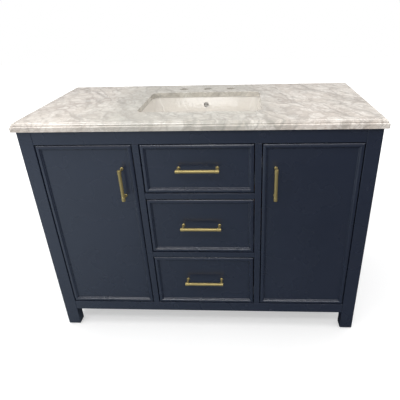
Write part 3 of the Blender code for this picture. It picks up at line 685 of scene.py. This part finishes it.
def moulding_lengths(low, high):
    """The four mitred lengths round an opening, from its lowest to its highest corner (x, z)."""
    lengths = []
    for turn in range(4):
        ends = [[], []]
        for inset, depth in moulding_section():
            ring = rectangle(low[0] + inset, low[1] + inset, high[0] - inset, high[1] - inset, 0)
            first, last = Vector(ring[turn][:2]), Vector(ring[(turn + 1) % 4][:2])
            back_off = (last - first).normalized() * MITRE_GAP
            for end, point in zip(ends, (first + back_off, last - back_off)):
                end.append((point.x, face + depth, point.y))
        lengths.append(skinned(ends))
    return lengths


def front_frame(name, node, body, pockets=()):
    """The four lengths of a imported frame's moulding as one piece, with pockets cut in its back."""
    low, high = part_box(node)
    lengths = moulding_lengths((low.x, low.z), (high.x, high.z))
    if pockets:
        lengths = [combined(part, [pocket.copy() for pocket in pockets], "DIFFERENCE") for part in lengths]
    add_piece(name, joined(lengths, name), [navy_paint], body, [node])


CUP_CLEARANCE = 0.0003
for hand, side in SIDES:
    pockets = []
    for end in ("upper", "lower"):
        low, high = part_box(f"{hand}_{end}_hinge_cup")
        radius = (high.x - low.x) / 2 + CUP_CLEARANCE
        ends = [(low.y - CUP_CLEARANCE, radius), (high.y + 0.01, radius)]
        pockets.append(turned(ends, "Y", ((low.x + high.x) / 2, 0, (low.z + high.z) / 2)))
    front_frame(f"{hand}_door_mouldings", f"{hand}_door_frame", f"{hand}_door", pockets)
    dress([f"{hand}_door_panel"], navy_paint)
DRAWERS = ("top_drawer", "middle_drawer", "bottom_drawer")
for drawer in DRAWERS:
    front_frame(f"{drawer}_mouldings", f"{drawer}_front_frame", drawer)
    dress([f"{drawer}_front_panel"], navy_paint)


# ==== Bar pulls ====
# Turned brass, satin-brushed and lacquered: a round bar with a collar at each end, on two stems that are
# screwed through the front and flare into a small rose.

satin_brass = finished(
    "satin_brass",
    drift=(9.0, 160.0),
    tones=((0.430, 0.342, 0.140), (0.490, 0.395, 0.170)),
    gloss=(0.44, 0.50),
    # paler edges: light wear, and a painted highlight where the edges catch the light
    edge_wear_and_highlight=(0.0008, 60.0, 0.3, (0.62, 0.50, 0.26)),
    relief=(1500.0, 2.0, 0.6, 0.00002, 0.3),
    Metallic=0.72,
)

BAR_RADIUS = 0.0058
COLLAR_RADIUS = 0.0065
COLLAR_LENGTH = 0.015
COLLAR_ROUND = 0.0010
COLLAR_FOOT = 0.0002
STEM_RADIUS = 0.0042
ROSE_RADIUS = 0.0060
ROSE_THICKNESS = 0.0030
ROSE_RIM = 0.45  # the flat rim's share of the rose's thickness


def bar_pull(node, axis):
    """A pull in the place of a packed one, made of a turned bar and two turned stems."""
    low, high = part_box(node)
    slot = "XYZ".index(axis)
    middle = (low + high) / 2
    end = (high[slot] - low[slot]) / 2
    bar_y = low.y + COLLAR_RADIUS
    inner = end - COLLAR_LENGTH
    half = [(end, COLLAR_RADIUS * 0.45), (end, COLLAR_RADIUS - COLLAR_ROUND)]
    for angle in quarter_turn(4):
        radius = COLLAR_RADIUS - COLLAR_ROUND * (1 - math.sin(angle))
        half.append((end - COLLAR_ROUND * (1 - math.cos(angle)), radius))
    for angle in quarter_turn(4, 0):
        radius = COLLAR_RADIUS - COLLAR_ROUND * (1 - math.cos(angle))
        half.append((inner + COLLAR_ROUND * (1 - math.sin(angle)), radius))
    half += [(inner, BAR_RADIUS + COLLAR_FOOT), (inner - COLLAR_FOOT, BAR_RADIUS)]
    profile = half + [(-along, radius) for along, radius in reversed(half)]
    bar = turned(profile, axis, (middle.x, bar_y, middle.z))
    flare = [(high.y, ROSE_RADIUS), (high.y - ROSE_THICKNESS * ROSE_RIM, ROSE_RADIUS)]
    for angle in quarter_turn(6):
        along = high.y - ROSE_THICKNESS * (ROSE_RIM + (1 - ROSE_RIM) * math.sin(angle))
        flare.append((along, STEM_RADIUS + (ROSE_RADIUS - STEM_RADIUS) * (1 - math.sin(angle)) ** 1.2))
    flare.append((bar_y, STEM_RADIUS))
    stems = []
    for sign in (-1, 1):
        offset = [0.0, 0.0, 0.0]
        offset[slot] = sign * (end - COLLAR_LENGTH / 2)
        stems.append(turned(flare, "Y", Vector((middle.x, 0, middle.z)) + Vector(offset), 32))
    return combined(bar, stems, "UNION")


for hand, side in SIDES:
    name = f"{hand}_door_pull"
    add_piece(f"{name}_bar", bar_pull(name, "Z"), [satin_brass], f"{hand}_door", [name])
for drawer in DRAWERS:
    name = f"{drawer}_pull"
    add_piece(f"{name}_bar", bar_pull(name, "X"), [satin_brass], drawer, [name])


# ==== Hinges ====
# Concealed hinges of nickel-plated steel. A cup with two wings is pressed and screwed into the back of the
# door, an arm sits on a plate that is screwed to the side panel, and two links join them when it opens.

HINGE_ARM_THICKNESS = 0.014
HINGE_ARM_HALF = 0.008
HINGE_ARM_STEP = 0.0386
PLATE_HALF = 0.026
PLATE_LENGTH = 0.040
PLATE_SCREW_DROP = 0.019
ARM_SCREWS_APART = 0.026
WING_SCREW_DROP = 0.024
LINK_THICKNESS = 0.0022
LINK_HALF = 0.0022
LINK_APART = 0.0036
LINK_STEPS = 20


def cross_screw(radius, height):
    """A screw's domed head with a cross recess, facing up."""
    shoulder = [(-0.0002, radius), (height * 0.3, radius * 0.97)]
    dome = [(height * 0.75, radius * 0.72), (height, radius * 0.35)]
    long, thin, deep = radius * 0.62, radius * 0.13, height * 0.35
    slots = [
        board((-long, -thin, deep), (long, thin, height * 2)),
        board((-thin, -long, deep - 0.00001), (thin, long, height * 2.1)),
    ]
    return combined(turned(shoulder + dome, "Z", (0, 0, 0), 16), slots, "DIFFERENCE")


def flat_bar(start, end):
    """A flat bar on edge between two places, cut into short lengths."""
    ahead = end - start
    across = Vector((-ahead.y, ahead.x, 0)).normalized() * LINK_THICKNESS / 2
    tall = Vector((0, 0, LINK_HALF))
    loops = []
    for i in range(LINK_STEPS + 1):
        point = start.lerp(end, i / LINK_STEPS)
        corners = (-across - tall, across - tall, across + tall, tall - across)
        loops.append([point + corner for corner in corners])
    return skinned(loops)


for hand, side in SIDES:
    body = f"{hand}_door"
    wing_rows = []
    for end in ("upper", "lower"):
        name = f"{hand}_{end}"
        dress([f"{name}_hinge_cup"], plated_steel)
        low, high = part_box(f"{name}_hinge_cup")
        cup_x, z, wing_face = (low.x + high.x) / 2, (low.z + high.z) / 2, high.y
        wing_rows.append(((cup_x, wing_face, z - WING_SCREW_DROP), (0, 0, 2 * WING_SCREW_DROP), 2, "+Y"))
        # from here on, x is measured outwards from the middle, and side turns it into a place
        low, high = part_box(f"{name}_hinge_arm")
        wall = high.x if side > 0 else -low.x
        post_face = side * (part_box(f"{hand}_front_post")[0 if side > 0 else 1].x) - 0.0003
        back_step = face + HINGE_ARM_STEP
        outline = [
            (post_face, low.y),
            (post_face - HINGE_ARM_THICKNESS, low.y),
            (post_face - HINGE_ARM_THICKNESS, high.y),
            (post_face + HINGE_ARM_THICKNESS / 2, high.y),
            (post_face + HINGE_ARM_THICKNESS / 2, back_step),
            (post_face, back_step),
        ]
        levels = (z - HINGE_ARM_HALF, z + HINGE_ARM_HALF)
        arm = skinned([[(side * x, y, level) for x, y in outline] for level in levels])
        plate_face = side * (post_face + HINGE_ARM_THICKNESS / 2 + 0.0001)
        plate_x = sorted((plate_face, side * wall))
        plate_front = high.y - PLATE_LENGTH
        plate = board((plate_x[0], plate_front, z - PLATE_HALF), (plate_x[1], high.y, z + PLATE_HALF))
        add_piece(
            f"{name}_hinge_arm_and_plate", joined([arm, plate], "arm"), [plated_steel], "cabinet",
            [f"{name}_hinge_arm"], eased=0.0012,
        )
        inner_face = side * (post_face - HINGE_ARM_THICKNESS)
        plate_first = (plate_face, high.y - PLATE_LENGTH / 2, z - PLATE_SCREW_DROP)
        facing = "-X" if side > 0 else "+X"
        rows = [
            ((inner_face, low.y + 0.012, z), (0, ARM_SCREWS_APART, 0), 2, facing),
            (plate_first, (0, 0, 2 * PLATE_SCREW_DROP), 2, facing),
        ]
        fixing_rows(f"{name}_arm_screws", rows, cross_screw(0.0036, 0.0016), "cabinet")
        for number, offset in enumerate((-LINK_APART, LINK_APART)):
            start = Vector((side * (post_face - 0.0055 - 0.003 * number), low.y + 0.008, z + offset))
            finish_at = Vector((side * (post_face - 0.0175 - 0.004 * number), face + 0.0150, z + offset))
            link_name = f"{name}_hinge_link_{number + 1}"
            link = add_piece(link_name, flat_bar(start, finish_at), [plated_steel], None)
            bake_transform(link)
    fixing_rows(f"{hand}_cup_screws", wing_rows, cross_screw(0.0036, 0.0014), body)


# ==== Door catches ====
# A magnet between two steel tips, in a small moulded housing, is fixed to each partition, and a steel strike
# plate to the back of each door. They hold the door shut, and stop it level with the frame.

moulded_plastic = finished(
    "white_plastic",
    drift=(30.0, 300.0),
    tones=((0.70, 0.69, 0.66), (0.76, 0.75, 0.72)),
    gloss=(0.36, 0.46),
    Specular_IOR_Level=0.5,
)

CATCH_HALF = 0.021
CATCH_BELOW_TOP = 0.055
CATCH_WIDTH = 0.030
CATCH_DEPTH = 0.014
CATCH_OFF_DOOR = 0.0025
TIP_MIDDLE = 0.020
TIPS_APART = 0.006
TIP_THICKNESS = 0.0012
STRIKE_HALF = 0.007
for hand, side in SIDES:
    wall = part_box("right_partition")[1].x
    door_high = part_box(f"{hand}_door_panel")[1]
    z = door_high.z - CATCH_BELOW_TOP
    front = door_high.y + CATCH_OFF_DOOR
    x0, x1 = sorted((side * (wall + 0.0002), side * (wall + 0.0002 + CATCH_WIDTH)))
    housing = board((x0, front, z - CATCH_HALF), (x1, front + CATCH_DEPTH, z + CATCH_HALF))
    add_piece(f"{hand}_catch_housing", housing, [moulded_plastic], "cabinet", eased=0.0015)
    tips = []
    for step in (-1, 1):
        x = side * (wall + TIP_MIDDLE + step * TIPS_APART / 2)
        corner = Vector((x, front - 0.0006, z))
        reach = Vector((TIP_THICKNESS / 2, 0, CATCH_HALF * 0.72))
        tips.append(board(corner - reach, corner + reach + Vector((0, 0.0046, 0))))
    add_piece(f"{hand}_catch_tips", joined(tips, "tips"), [plated_steel], "cabinet")
    centre = Vector((side * (wall + TIP_MIDDLE + 0.0005), door_high.y + 0.0008, z))
    reach = Vector((STRIKE_HALF, 0.0006, CATCH_HALF))
    strike = board(centre - reach, centre + reach)
    add_piece(f"{hand}_strike_plate", strike, [plated_steel], f"{hand}_door", eased=0.0004)


# ==== Drawer boxes ====
# Birch sides, ends and dividers, 12 mm thick, with box-joint fingers at every corner, round a thin plywood
# bottom. The top box is a U that passes the sink's waste pipe. The fronts are screwed on from inside.


def drawer_board_wood(name, along):
    material, tree, shader, place = new_material(name, Specular_IOR_Level=0.45)
    tones = {"Pale": (0.68, 0.52, 0.34, 1), "Dark": (0.56, 0.40, 0.24, 1)}
    grain = use_group(tree, board_grain, Place=place, Along=along, Fineness=55.0, Length=2.0, **tones)
    colour = tinted(tree, grain["End"], 0.75, grain["Colour"], (0.40, 0.265, 0.145))
    drive(tree, shader, "Base Color", colour)
    drive(tree, shader, "Roughness", spread(tree, grain["Relief"], 0.3, 0.7, 0.36, 0.50))
    drive(tree, shader, "Normal", bump(tree, grain["Relief"], 0.00008, 0.5))
    return material


cross_wood = drawer_board_wood("drawer_wood_across", X_AXIS)
side_wood = drawer_board_wood("drawer_wood_lengthwise", Y_AXIS)
bottom_plywood = plywood("drawer_bottom_plywood", Z_AXIS, X_AXIS)

BOX_WALL = 0.012
FINGER_HEIGHT = 0.017
CUTOUT_FRONT = face + 0.110
CUTOUT_BACK = face + 0.4046
SINK_NOTCH_HALF = 0.085
BOTTOM_LIFT = 0.003
BOTTOM_THICKNESS = 0.005
FRONT_SCREW_REACH = 0.120
FRONT_SCREW_ABOVE_BOTTOM = 0.030
FRONT_SCREW_BELOW_TOP = 0.025


def fingered_board(axis, ends, faces, heights):
    """An upright board along X or Y with fingers at both ends; X boards keep the lowest finger."""
    bottom, top = heights
    count = 2 * round((top - bottom) / FINGER_HEIGHT / 2) + 1
    levels = [bottom + (top - bottom) * i / count for i in range(count + 1)]
    first_full = 0 if axis == "X" else 1
    outline = []
    for i in range(count):
        cut_back = 0.0 if i % 2 == first_full else BOX_WALL
        outline += [(ends[1] - cut_back, levels[i]), (ends[1] - cut_back, levels[i + 1])]
    for i in reversed(range(count)):
        cut_back = 0.0 if i % 2 == first_full else BOX_WALL
        outline += [(ends[0] + cut_back, levels[i + 1]), (ends[0] + cut_back, levels[i])]
    loops = []
    for across in faces:
        loops.append([(a, across, z) if axis == "X" else (across, a, z) for a, z in outline])
    mesh = skinned(loops)
    for polygon in mesh.polygons:
        polygon.material_index = 0 if axis == "X" else 1
    return mesh


front_screws = cross_screw(0.0042, 0.0018)
for drawer in DRAWERS:
    low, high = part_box(f"{drawer}_box")
    heights = (low.z, high.z)
    half, front, back, wall = high.x, low.y, high.y, BOX_WALL
    boards = [fingered_board("X", (-half, half), (front, front + wall), heights)]
    for side in (-1, 1):
        faces = sorted((side * half, side * (half - wall)))
        boards.append(fingered_board("Y", (front, back), faces, heights))
    bottom_outline = [(half - wall, front + wall), (half - wall, back - wall)]
    if drawer == "top_drawer":
        notch = SINK_NOTCH_HALF
        notch_end = (CUTOUT_FRONT + CUTOUT_BACK) / 2 - notch
        for side in (-1, 1):
            ends = sorted((side * notch, side * half))
            boards.append(fingered_board("X", ends, (back - wall, back), heights))
            faces = sorted((side * notch, side * (notch + wall)))
            boards.append(fingered_board("Y", (notch_end - wall, back), faces, heights))
        ends = (-notch - wall, notch + wall)
        boards.append(fingered_board("X", ends, (notch_end - wall, notch_end), heights))
        bottom_outline += [(notch + wall, back - wall), (notch + wall, notch_end - wall)]
    else:
        boards.append(fingered_board("X", (-half, half), (back - wall, back), heights))
    wood = [cross_wood, side_wood]
    for mesh in boards:
        for material in wood:
            mesh.materials.append(material)
    name = f"{drawer}_boards"
    add_piece(name, joined(boards, name), wood, drawer, [f"{drawer}_box"], eased=0.0005)
    outline = bottom_outline + [(-x, y) for x, y in reversed(bottom_outline)]
    bottom = low.z + BOTTOM_LIFT
    loops = [[(x, y, z) for x, y in outline] for z in (bottom, bottom + BOTTOM_THICKNESS)]
    add_piece(f"{drawer}_bottom", skinned(loops), [bottom_plywood], drawer)
    rows = []
    for z in (low.z + FRONT_SCREW_ABOVE_BOTTOM, high.z - FRONT_SCREW_BELOW_TOP):
        first = (-FRONT_SCREW_REACH, front + wall, z)
        rows.append((first, (2 * FRONT_SCREW_REACH, 0, 0), 2, "+Y"))
    fixing_rows(f"{drawer}_front_screws", rows, front_screws.copy(), drawer)


# ==== Drawer slides ====
# Rolled zinc-plated channels: a fixed one on each partition and one on the drawer box inside it. They run
# on rows of steel balls between their lips, and are fixed with flat screws.

BALL_RADIUS = 0.0007
BALL_STEP = 0.0075
BALLS_IN_ROW = 34
BALL_START = 0.12
BALL_GAP = 0.00075
SLIDE_SHEET = 0.0015
SLIDE_SCREW_INSET = 0.03
slide_screw = cross_screw(0.0036, 0.0012)
ball_mesh = bpy.data.meshes.new("ball")
bm = bmesh.new()
bmesh.ops.create_uvsphere(bm, u_segments=8, v_segments=5, radius=BALL_RADIUS)
bm.to_mesh(ball_mesh)
bm.free()
for drawer in DRAWERS:
    screw_rows = []
    ball_rows = []
    for hand, side in SIDES:
        dress([f"{drawer}_{hand}_slide_outer", f"{drawer}_{hand}_slide_inner"], plated_steel)
        low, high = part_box(f"{drawer}_{hand}_slide_inner")
        web = low.x + SLIDE_SHEET if side > 0 else high.x - SLIDE_SHEET
        first = (web, low.y + SLIDE_SCREW_INSET, (low.z + high.z) / 2)
        step = (0, (high.y - low.y) / 2 - 0.04, 0)
        screw_rows.append((first, step, 3, "+X" if side > 0 else "-X"))
        lip = side * (abs(web) + 0.0040)
        for z in (low.z - BALL_GAP, high.z + BALL_GAP):
            ball_rows.append(((lip, low.y + BALL_START, z), (0, BALL_STEP, 0), BALLS_IN_ROW, "+Z"))
    name = f"{drawer}_slide"
    fixing_rows(f"{name}_screws", screw_rows, slide_screw.copy(), drawer)
    fixing_rows(f"{name}_balls", ball_rows, ball_mesh.copy(), "cabinet")


# ==== Marble top ====
# One polished slab, built up at the front and sides to a thicker edge that is moulded with a nose, a ledge
# and an ogee. The sink opening and three tap holes are cut with their upper edges eased.

marble, tree, shader, place = new_material("cream_marble", Specular_IOR_Level=0.5)
STREAK_TURN = (math.radians(-30), 0, math.radians(-57))
STREAK_STRETCH = (4.5, 1.0, 2.6)
feeds = {"Vector": place, "Scale": 7.0, "Detail": 5.0, "Roughness": 0.6}
swirl = add_node(tree, "ShaderNodeTexNoise", feeds).outputs["Color"]
push = vector_maths(tree, "SCALE", vector_maths(tree, "SUBTRACT", swirl, (0.5, 0.5, 0.5)), 0.09)
warped = vector_maths(tree, "ADD", place, push)
feeds = {"Vector": warped, "Rotation": STREAK_TURN, "Scale": STREAK_STRETCH}
streaks = add_node(tree, "ShaderNodeMapping", feeds, vector_type="TEXTURE").outputs[0]
clouds = noise(tree, warped, 5.5, 5.0, 0.62)
cloud_stops = [(0.36, (0.54, 0.480, 0.425)), (0.50, (0.645, 0.580, 0.515)), (0.62, (0.715, 0.655, 0.585))]
base = ramp(tree, clouds, cloud_stops)
across = add_node(tree, "ShaderNodeSeparateXYZ", {"Vector": warped}).outputs
# Painted reflection: a band across the middle of the slab, to be painted greyer and greener as a reflection
# in the polish would make it
painted_reflection_band = spread(tree, maths(tree, "ABSOLUTE", maths(tree, "ADD", across["X"], 0.06)), 0.40, 0.20)


def stone_web(vector, scale, width, strength, colour, base, patchy, pale):
    """A web of darker stone round angular patches, some of which are paler than the rest."""
    feeds = {"Vector": vector, "Scale": scale}
    edge = add_node(tree, "ShaderNodeTexVoronoi", feeds, feature="DISTANCE_TO_EDGE").outputs["Distance"]
    cell = add_node(tree, "ShaderNodeTexVoronoi", feeds, feature="F1").outputs["Color"]
    chance = add_node(tree, "ShaderNodeSeparateColor", {"Color": cell}).outputs["Red"]
    inside = maths(tree, "MULTIPLY", spread(tree, edge, 0.02, 0.10), spread(tree, chance, 0.58, 0.70))
    base = tinted(tree, inside, pale, base, (0.90, 0.86, 0.80))
    where = spread(tree, noise(tree, vector, patchy, 3.0, 0.6), 0.38, 0.56)
    web = maths(tree, "MULTIPLY", spread(tree, edge, width, width * 0.2), where)
    return tinted(tree, web, strength, base, colour)


base = stone_web(warped, 24.0, 0.12, 0.42, (0.44, 0.385, 0.345), base, 5.0, 0.42)
base = stone_web(streaks, 30.0, 0.10, 0.60, (0.32, 0.29, 0.26), base, 6.0, 0.22)
base = stone_web(warped, 62.0, 0.14, 0.40, (0.46, 0.41, 0.37), base, 9.0, 0.30)
veil = spread(tree, noise(tree, streaks, 13.0, 6.0, 0.65), 0.53, 0.72)
base = tinted(tree, veil, 0.62, base, (0.34, 0.31, 0.28))
glints = spread(tree, noise(tree, streaks, 22.0, 4.0, 0.6), 0.60, 0.72)
base = tinted(tree, glints, 0.30, base, (0.90, 0.865, 0.80))
# the painted reflection: the middle of the slab taken greyer and greener
base = tinted(tree, painted_reflection_band, 0.42, base, (0.40, 0.41, 0.36))
strokes = spread(tree, noise(tree, streaks, 36.0, 3.0, 0.55), 0.56, 0.66)
base = tinted(tree, strokes, 0.42, base, (0.33, 0.31, 0.275))
crystals = spread(tree, noise(tree, place, 300.0, 3.0, 0.7), 0.35, 0.7)
base = tinted(tree, crystals, 0.10, base, (0.90, 0.87, 0.82))
drive(tree, shader, "Base Color", base)
drive(tree, shader, "Roughness", spread(tree, veil, 0.0, 1.0, 0.09, 0.20))
drive(tree, shader, "Normal", bump(tree, noise(tree, place, 60.0, 2.0), 0.00004, 0.3))


top_low, top_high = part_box("marble_top")
UNDERSIDE = top_low.z
TOP_SURFACE = top_high.z
SLAB_UNDERSIDE = TOP_SURFACE - 0.020
FASCIA_HEIGHT = 0.014
FASCIA_EASE = 0.0007
NOSE_RADIUS = 0.004
NOSE_LEDGE = 0.001
RISER = 0.0035
EDGE_INSET = 0.012
TOP_CORNER = 0.004
EDGE_STRIP = 0.055
OVERHANG = 0.0127
CUTOUT_HALF = 0.223
CUTOUT_CORNER = 0.028
CUTOUT_EASE = 0.0016
TAP_LINE = top_high.y - 0.078
TAP_SPACING = 0.1016
TAP_RADIUS = 0.0175
TAP_EASE = 0.0008


def top_edge():
    """(inset, height) up the moulded edge: eased fascia, nose, ledge, riser and ogee."""
    points = [(FASCIA_EASE, 0.0), (FASCIA_EASE * 0.3, FASCIA_EASE * 0.3)]
    points += [(0.0, FASCIA_EASE), (0.0, FASCIA_HEIGHT)]
    for angle in quarter_turn(8):
        points.append((NOSE_RADIUS * (1 - math.cos(angle)), FASCIA_HEIGHT + NOSE_RADIUS * math.sin(angle)))
    ledge = (NOSE_RADIUS + NOSE_LEDGE, FASCIA_HEIGHT + NOSE_RADIUS + 0.00025)
    points.append(ledge)
    riser_top = ledge[1] + RISER
    height = TOP_SURFACE - UNDERSIDE
    for step in range(25):
        share = step / 24
        swell = (share + math.sin(math.pi * share / 2)) / 2
        points.append((ledge[0] + (EDGE_INSET - ledge[0]) * share, riser_top + (height - riser_top) * swell))
    return points


def eased_hole(loop_at, ease):
    """A cutter that widens by ease at the slab's surface; loop_at gives its loop for a growth and a level."""
    loops = [loop_at(0.0, SLAB_UNDERSIDE - 0.01)]
    for angle in quarter_turn(5, 0):
        loops.append(loop_at(ease * (1 - math.cos(angle)), TOP_SURFACE - ease * (1 - math.sin(angle))))
    loops.append(loop_at(ease, TOP_SURFACE + 0.01))
    return skinned(loops)


def sink_loop(grow, level, steps=16):
    """The sink opening's outline, grown outwards."""
    corner = CUTOUT_CORNER + grow
    front, back = CUTOUT_FRONT - grow, CUTOUT_BACK + grow
    return rounded_loop(CUTOUT_HALF + grow, front, back, corner, corner, level, steps)


def tap_loop(x):
    def loop(grow, level):
        angles = [2 * math.pi * i / 48 for i in range(48)]
        radius = TAP_RADIUS + grow
        return [(x + radius * math.cos(a), TAP_LINE + radius * math.sin(a), level) for a in angles]

    return loop


loops = []
for inset, height in top_edge():
    corner = max(TOP_CORNER - inset, TOP_CORNER / 4)
    half, front = top_high.x - inset, top_low.y + inset
    loops.append(rounded_loop(half, front, top_high.y, corner, TOP_CORNER / 4, UNDERSIDE + height, 6))
pocket = board(
    (top_low.x + EDGE_STRIP, top_low.y + EDGE_STRIP, UNDERSIDE - 0.01),
    (top_high.x - EDGE_STRIP, top_high.y - EDGE_STRIP + OVERHANG, SLAB_UNDERSIDE),
)
cuts = [pocket, eased_hole(sink_loop, CUTOUT_EASE)]
for i in (-1, 0, 1):
    cuts.append(eased_hole(tap_loop(i * TAP_SPACING), TAP_EASE))
slab = combined(skinned(loops), cuts, "DIFFERENCE")
add_piece("marble_slab", slab, [marble], "cabinet", ["marble_top"], crease=40)


# ==== Sink ====
# A cast vitreous-china bowl with a warm white glaze and a wavy gloss, bonded under the slab by its flat
# flange and sealed round its rim. An overflow passage runs down behind the back wall, towards the drain.

glazed_ceramic = finished(
    "glazed_ceramic",
    drift=(4.0, 30.0),
    tones=((0.69, 0.655, 0.60), (0.73, 0.695, 0.64)),
    gloss=(0.04, 0.08),
    relief=(85.0, 1.5, 0.5, 0.0010, 0.52),
    Specular_IOR_Level=0.6,
)

BOWL_TOP = SLAB_UNDERSIDE - 0.0003
REVEAL = 0.002
BOWL_DEPTH = 0.145
BOWL_WALL = 0.010
DRAFT = math.radians(13)
FILLET = 0.040
FLANGE = 0.022
FLANGE_THICKNESS = 0.0095
DRAIN_RADIUS = 0.0225
OVERFLOW_RADIUS = 0.011
OVERFLOW_DROP = 0.032


def bowl_loops(grow, depth, fillet):
    """Loops down a face of the bowl: a sloping wall, then a fillet into the floor."""
    half = CUTOUT_HALF + REVEAL + grow
    front, back = CUTOUT_FRONT - REVEAL - grow, CUTOUT_BACK + REVEAL + grow
    straight = depth - fillet * (1 - math.sin(DRAFT))
    profile = [(straight * math.tan(DRAFT) * i / 4, straight * i / 4) for i in range(5)]
    start = profile[-1][0]
    for step in range(1, 15):
        angle = DRAFT + (math.pi / 2 - DRAFT) * step / 14
        inset = start + fillet * (math.cos(DRAFT) - math.cos(angle))
        profile.append((inset, straight + fillet * (math.sin(angle) - math.sin(DRAFT))))
    loops = []
    for inset, drop in profile:
        corner = CUTOUT_CORNER + grow + inset / 2
        level = BOWL_TOP - drop
        loops.append(rounded_loop(half - inset, front + inset, back - inset, corner, corner, level, 12))
    return loops


inner = bowl_loops(0.0, BOWL_DEPTH, FILLET)
outer = bowl_loops(BOWL_WALL, BOWL_DEPTH + BOWL_WALL, FILLET + BOWL_WALL)
flange_bottom = BOWL_TOP - FLANGE_THICKNESS
flange = [sink_loop(REVEAL + FLANGE, level, 12) for level in (BOWL_TOP, flange_bottom)]
neck = [(x, y, flange_bottom) for x, y, z in outer[0]]
shell = skinned(list(reversed(inner)) + flange + [neck] + outer[1:])
floor_level = BOWL_TOP - BOWL_DEPTH
drain_cut = [(floor_level - 0.03, DRAIN_RADIUS), (floor_level + 0.02, DRAIN_RADIUS)]
drain = turned(drain_cut, "Z", (0, (CUTOUT_FRONT + CUTOUT_BACK) / 2, 0))
CHAMBER_HALF = 0.024
CHAMBER_DEPTH = 0.015
CHAMBER_WALL = 0.005
CHAMBER_REACH = (0.014, 0.106)


def wall_face(drop):
    """Where the outside of the bowl's back wall is, at a drop below the rim."""
    return CUTOUT_BACK + REVEAL + BOWL_WALL - drop * math.tan(DRAFT)


def chamber(inside):
    """The overflow's passage behind the bowl's wall, which follows the wall's slope."""
    loops = []
    for drop in (CHAMBER_REACH[1] - inside, CHAMBER_REACH[0] + inside):
        front = wall_face(drop) - 0.004 - inside * 0.3
        back = wall_face(drop) + CHAMBER_DEPTH - inside
        half = CHAMBER_HALF - inside
        loops.append(rectangle(-half, front, half, back, BOWL_TOP - drop))
    return skinned(loops)


overflow_cut = [(CUTOUT_BACK - 0.03, OVERFLOW_RADIUS), (wall_face(OVERFLOW_DROP) + 0.003, OVERFLOW_RADIUS)]
overflow = turned(overflow_cut, "Y", (0, 0, BOWL_TOP - OVERFLOW_DROP), 40)
bowl = combined(shell, [chamber(0.0)], "UNION")
bowl = combined(bowl, [chamber(CHAMBER_WALL), drain, overflow], "DIFFERENCE")
add_piece("sink", bowl, [glazed_ceramic], "cabinet", ["sink_bowl"], crease=40)

sealant = finished(
    "white_sealant",
    drift=(12.0, 90.0),
    tones=((0.60, 0.585, 0.55), (0.66, 0.645, 0.61)),
    gloss=(0.28, 0.42),
    relief=(130.0, 2.0, 0.5, 0.0002, 0.4),
    Specular_IOR_Level=0.4,
)
BEAD_RADIUS = 0.0011
BEAD_STEPS = 10
loops = []
for i in range(BEAD_STEPS):
    angle = 2 * math.pi * i / BEAD_STEPS
    level = BOWL_TOP - 0.0004 + BEAD_RADIUS * math.sin(angle)
    loops.append(sink_loop(0.0012 + BEAD_RADIUS * math.cos(angle), level, 12))
add_piece("sink_sealant", skinned(loops, capped=False), [sealant], "cabinet")
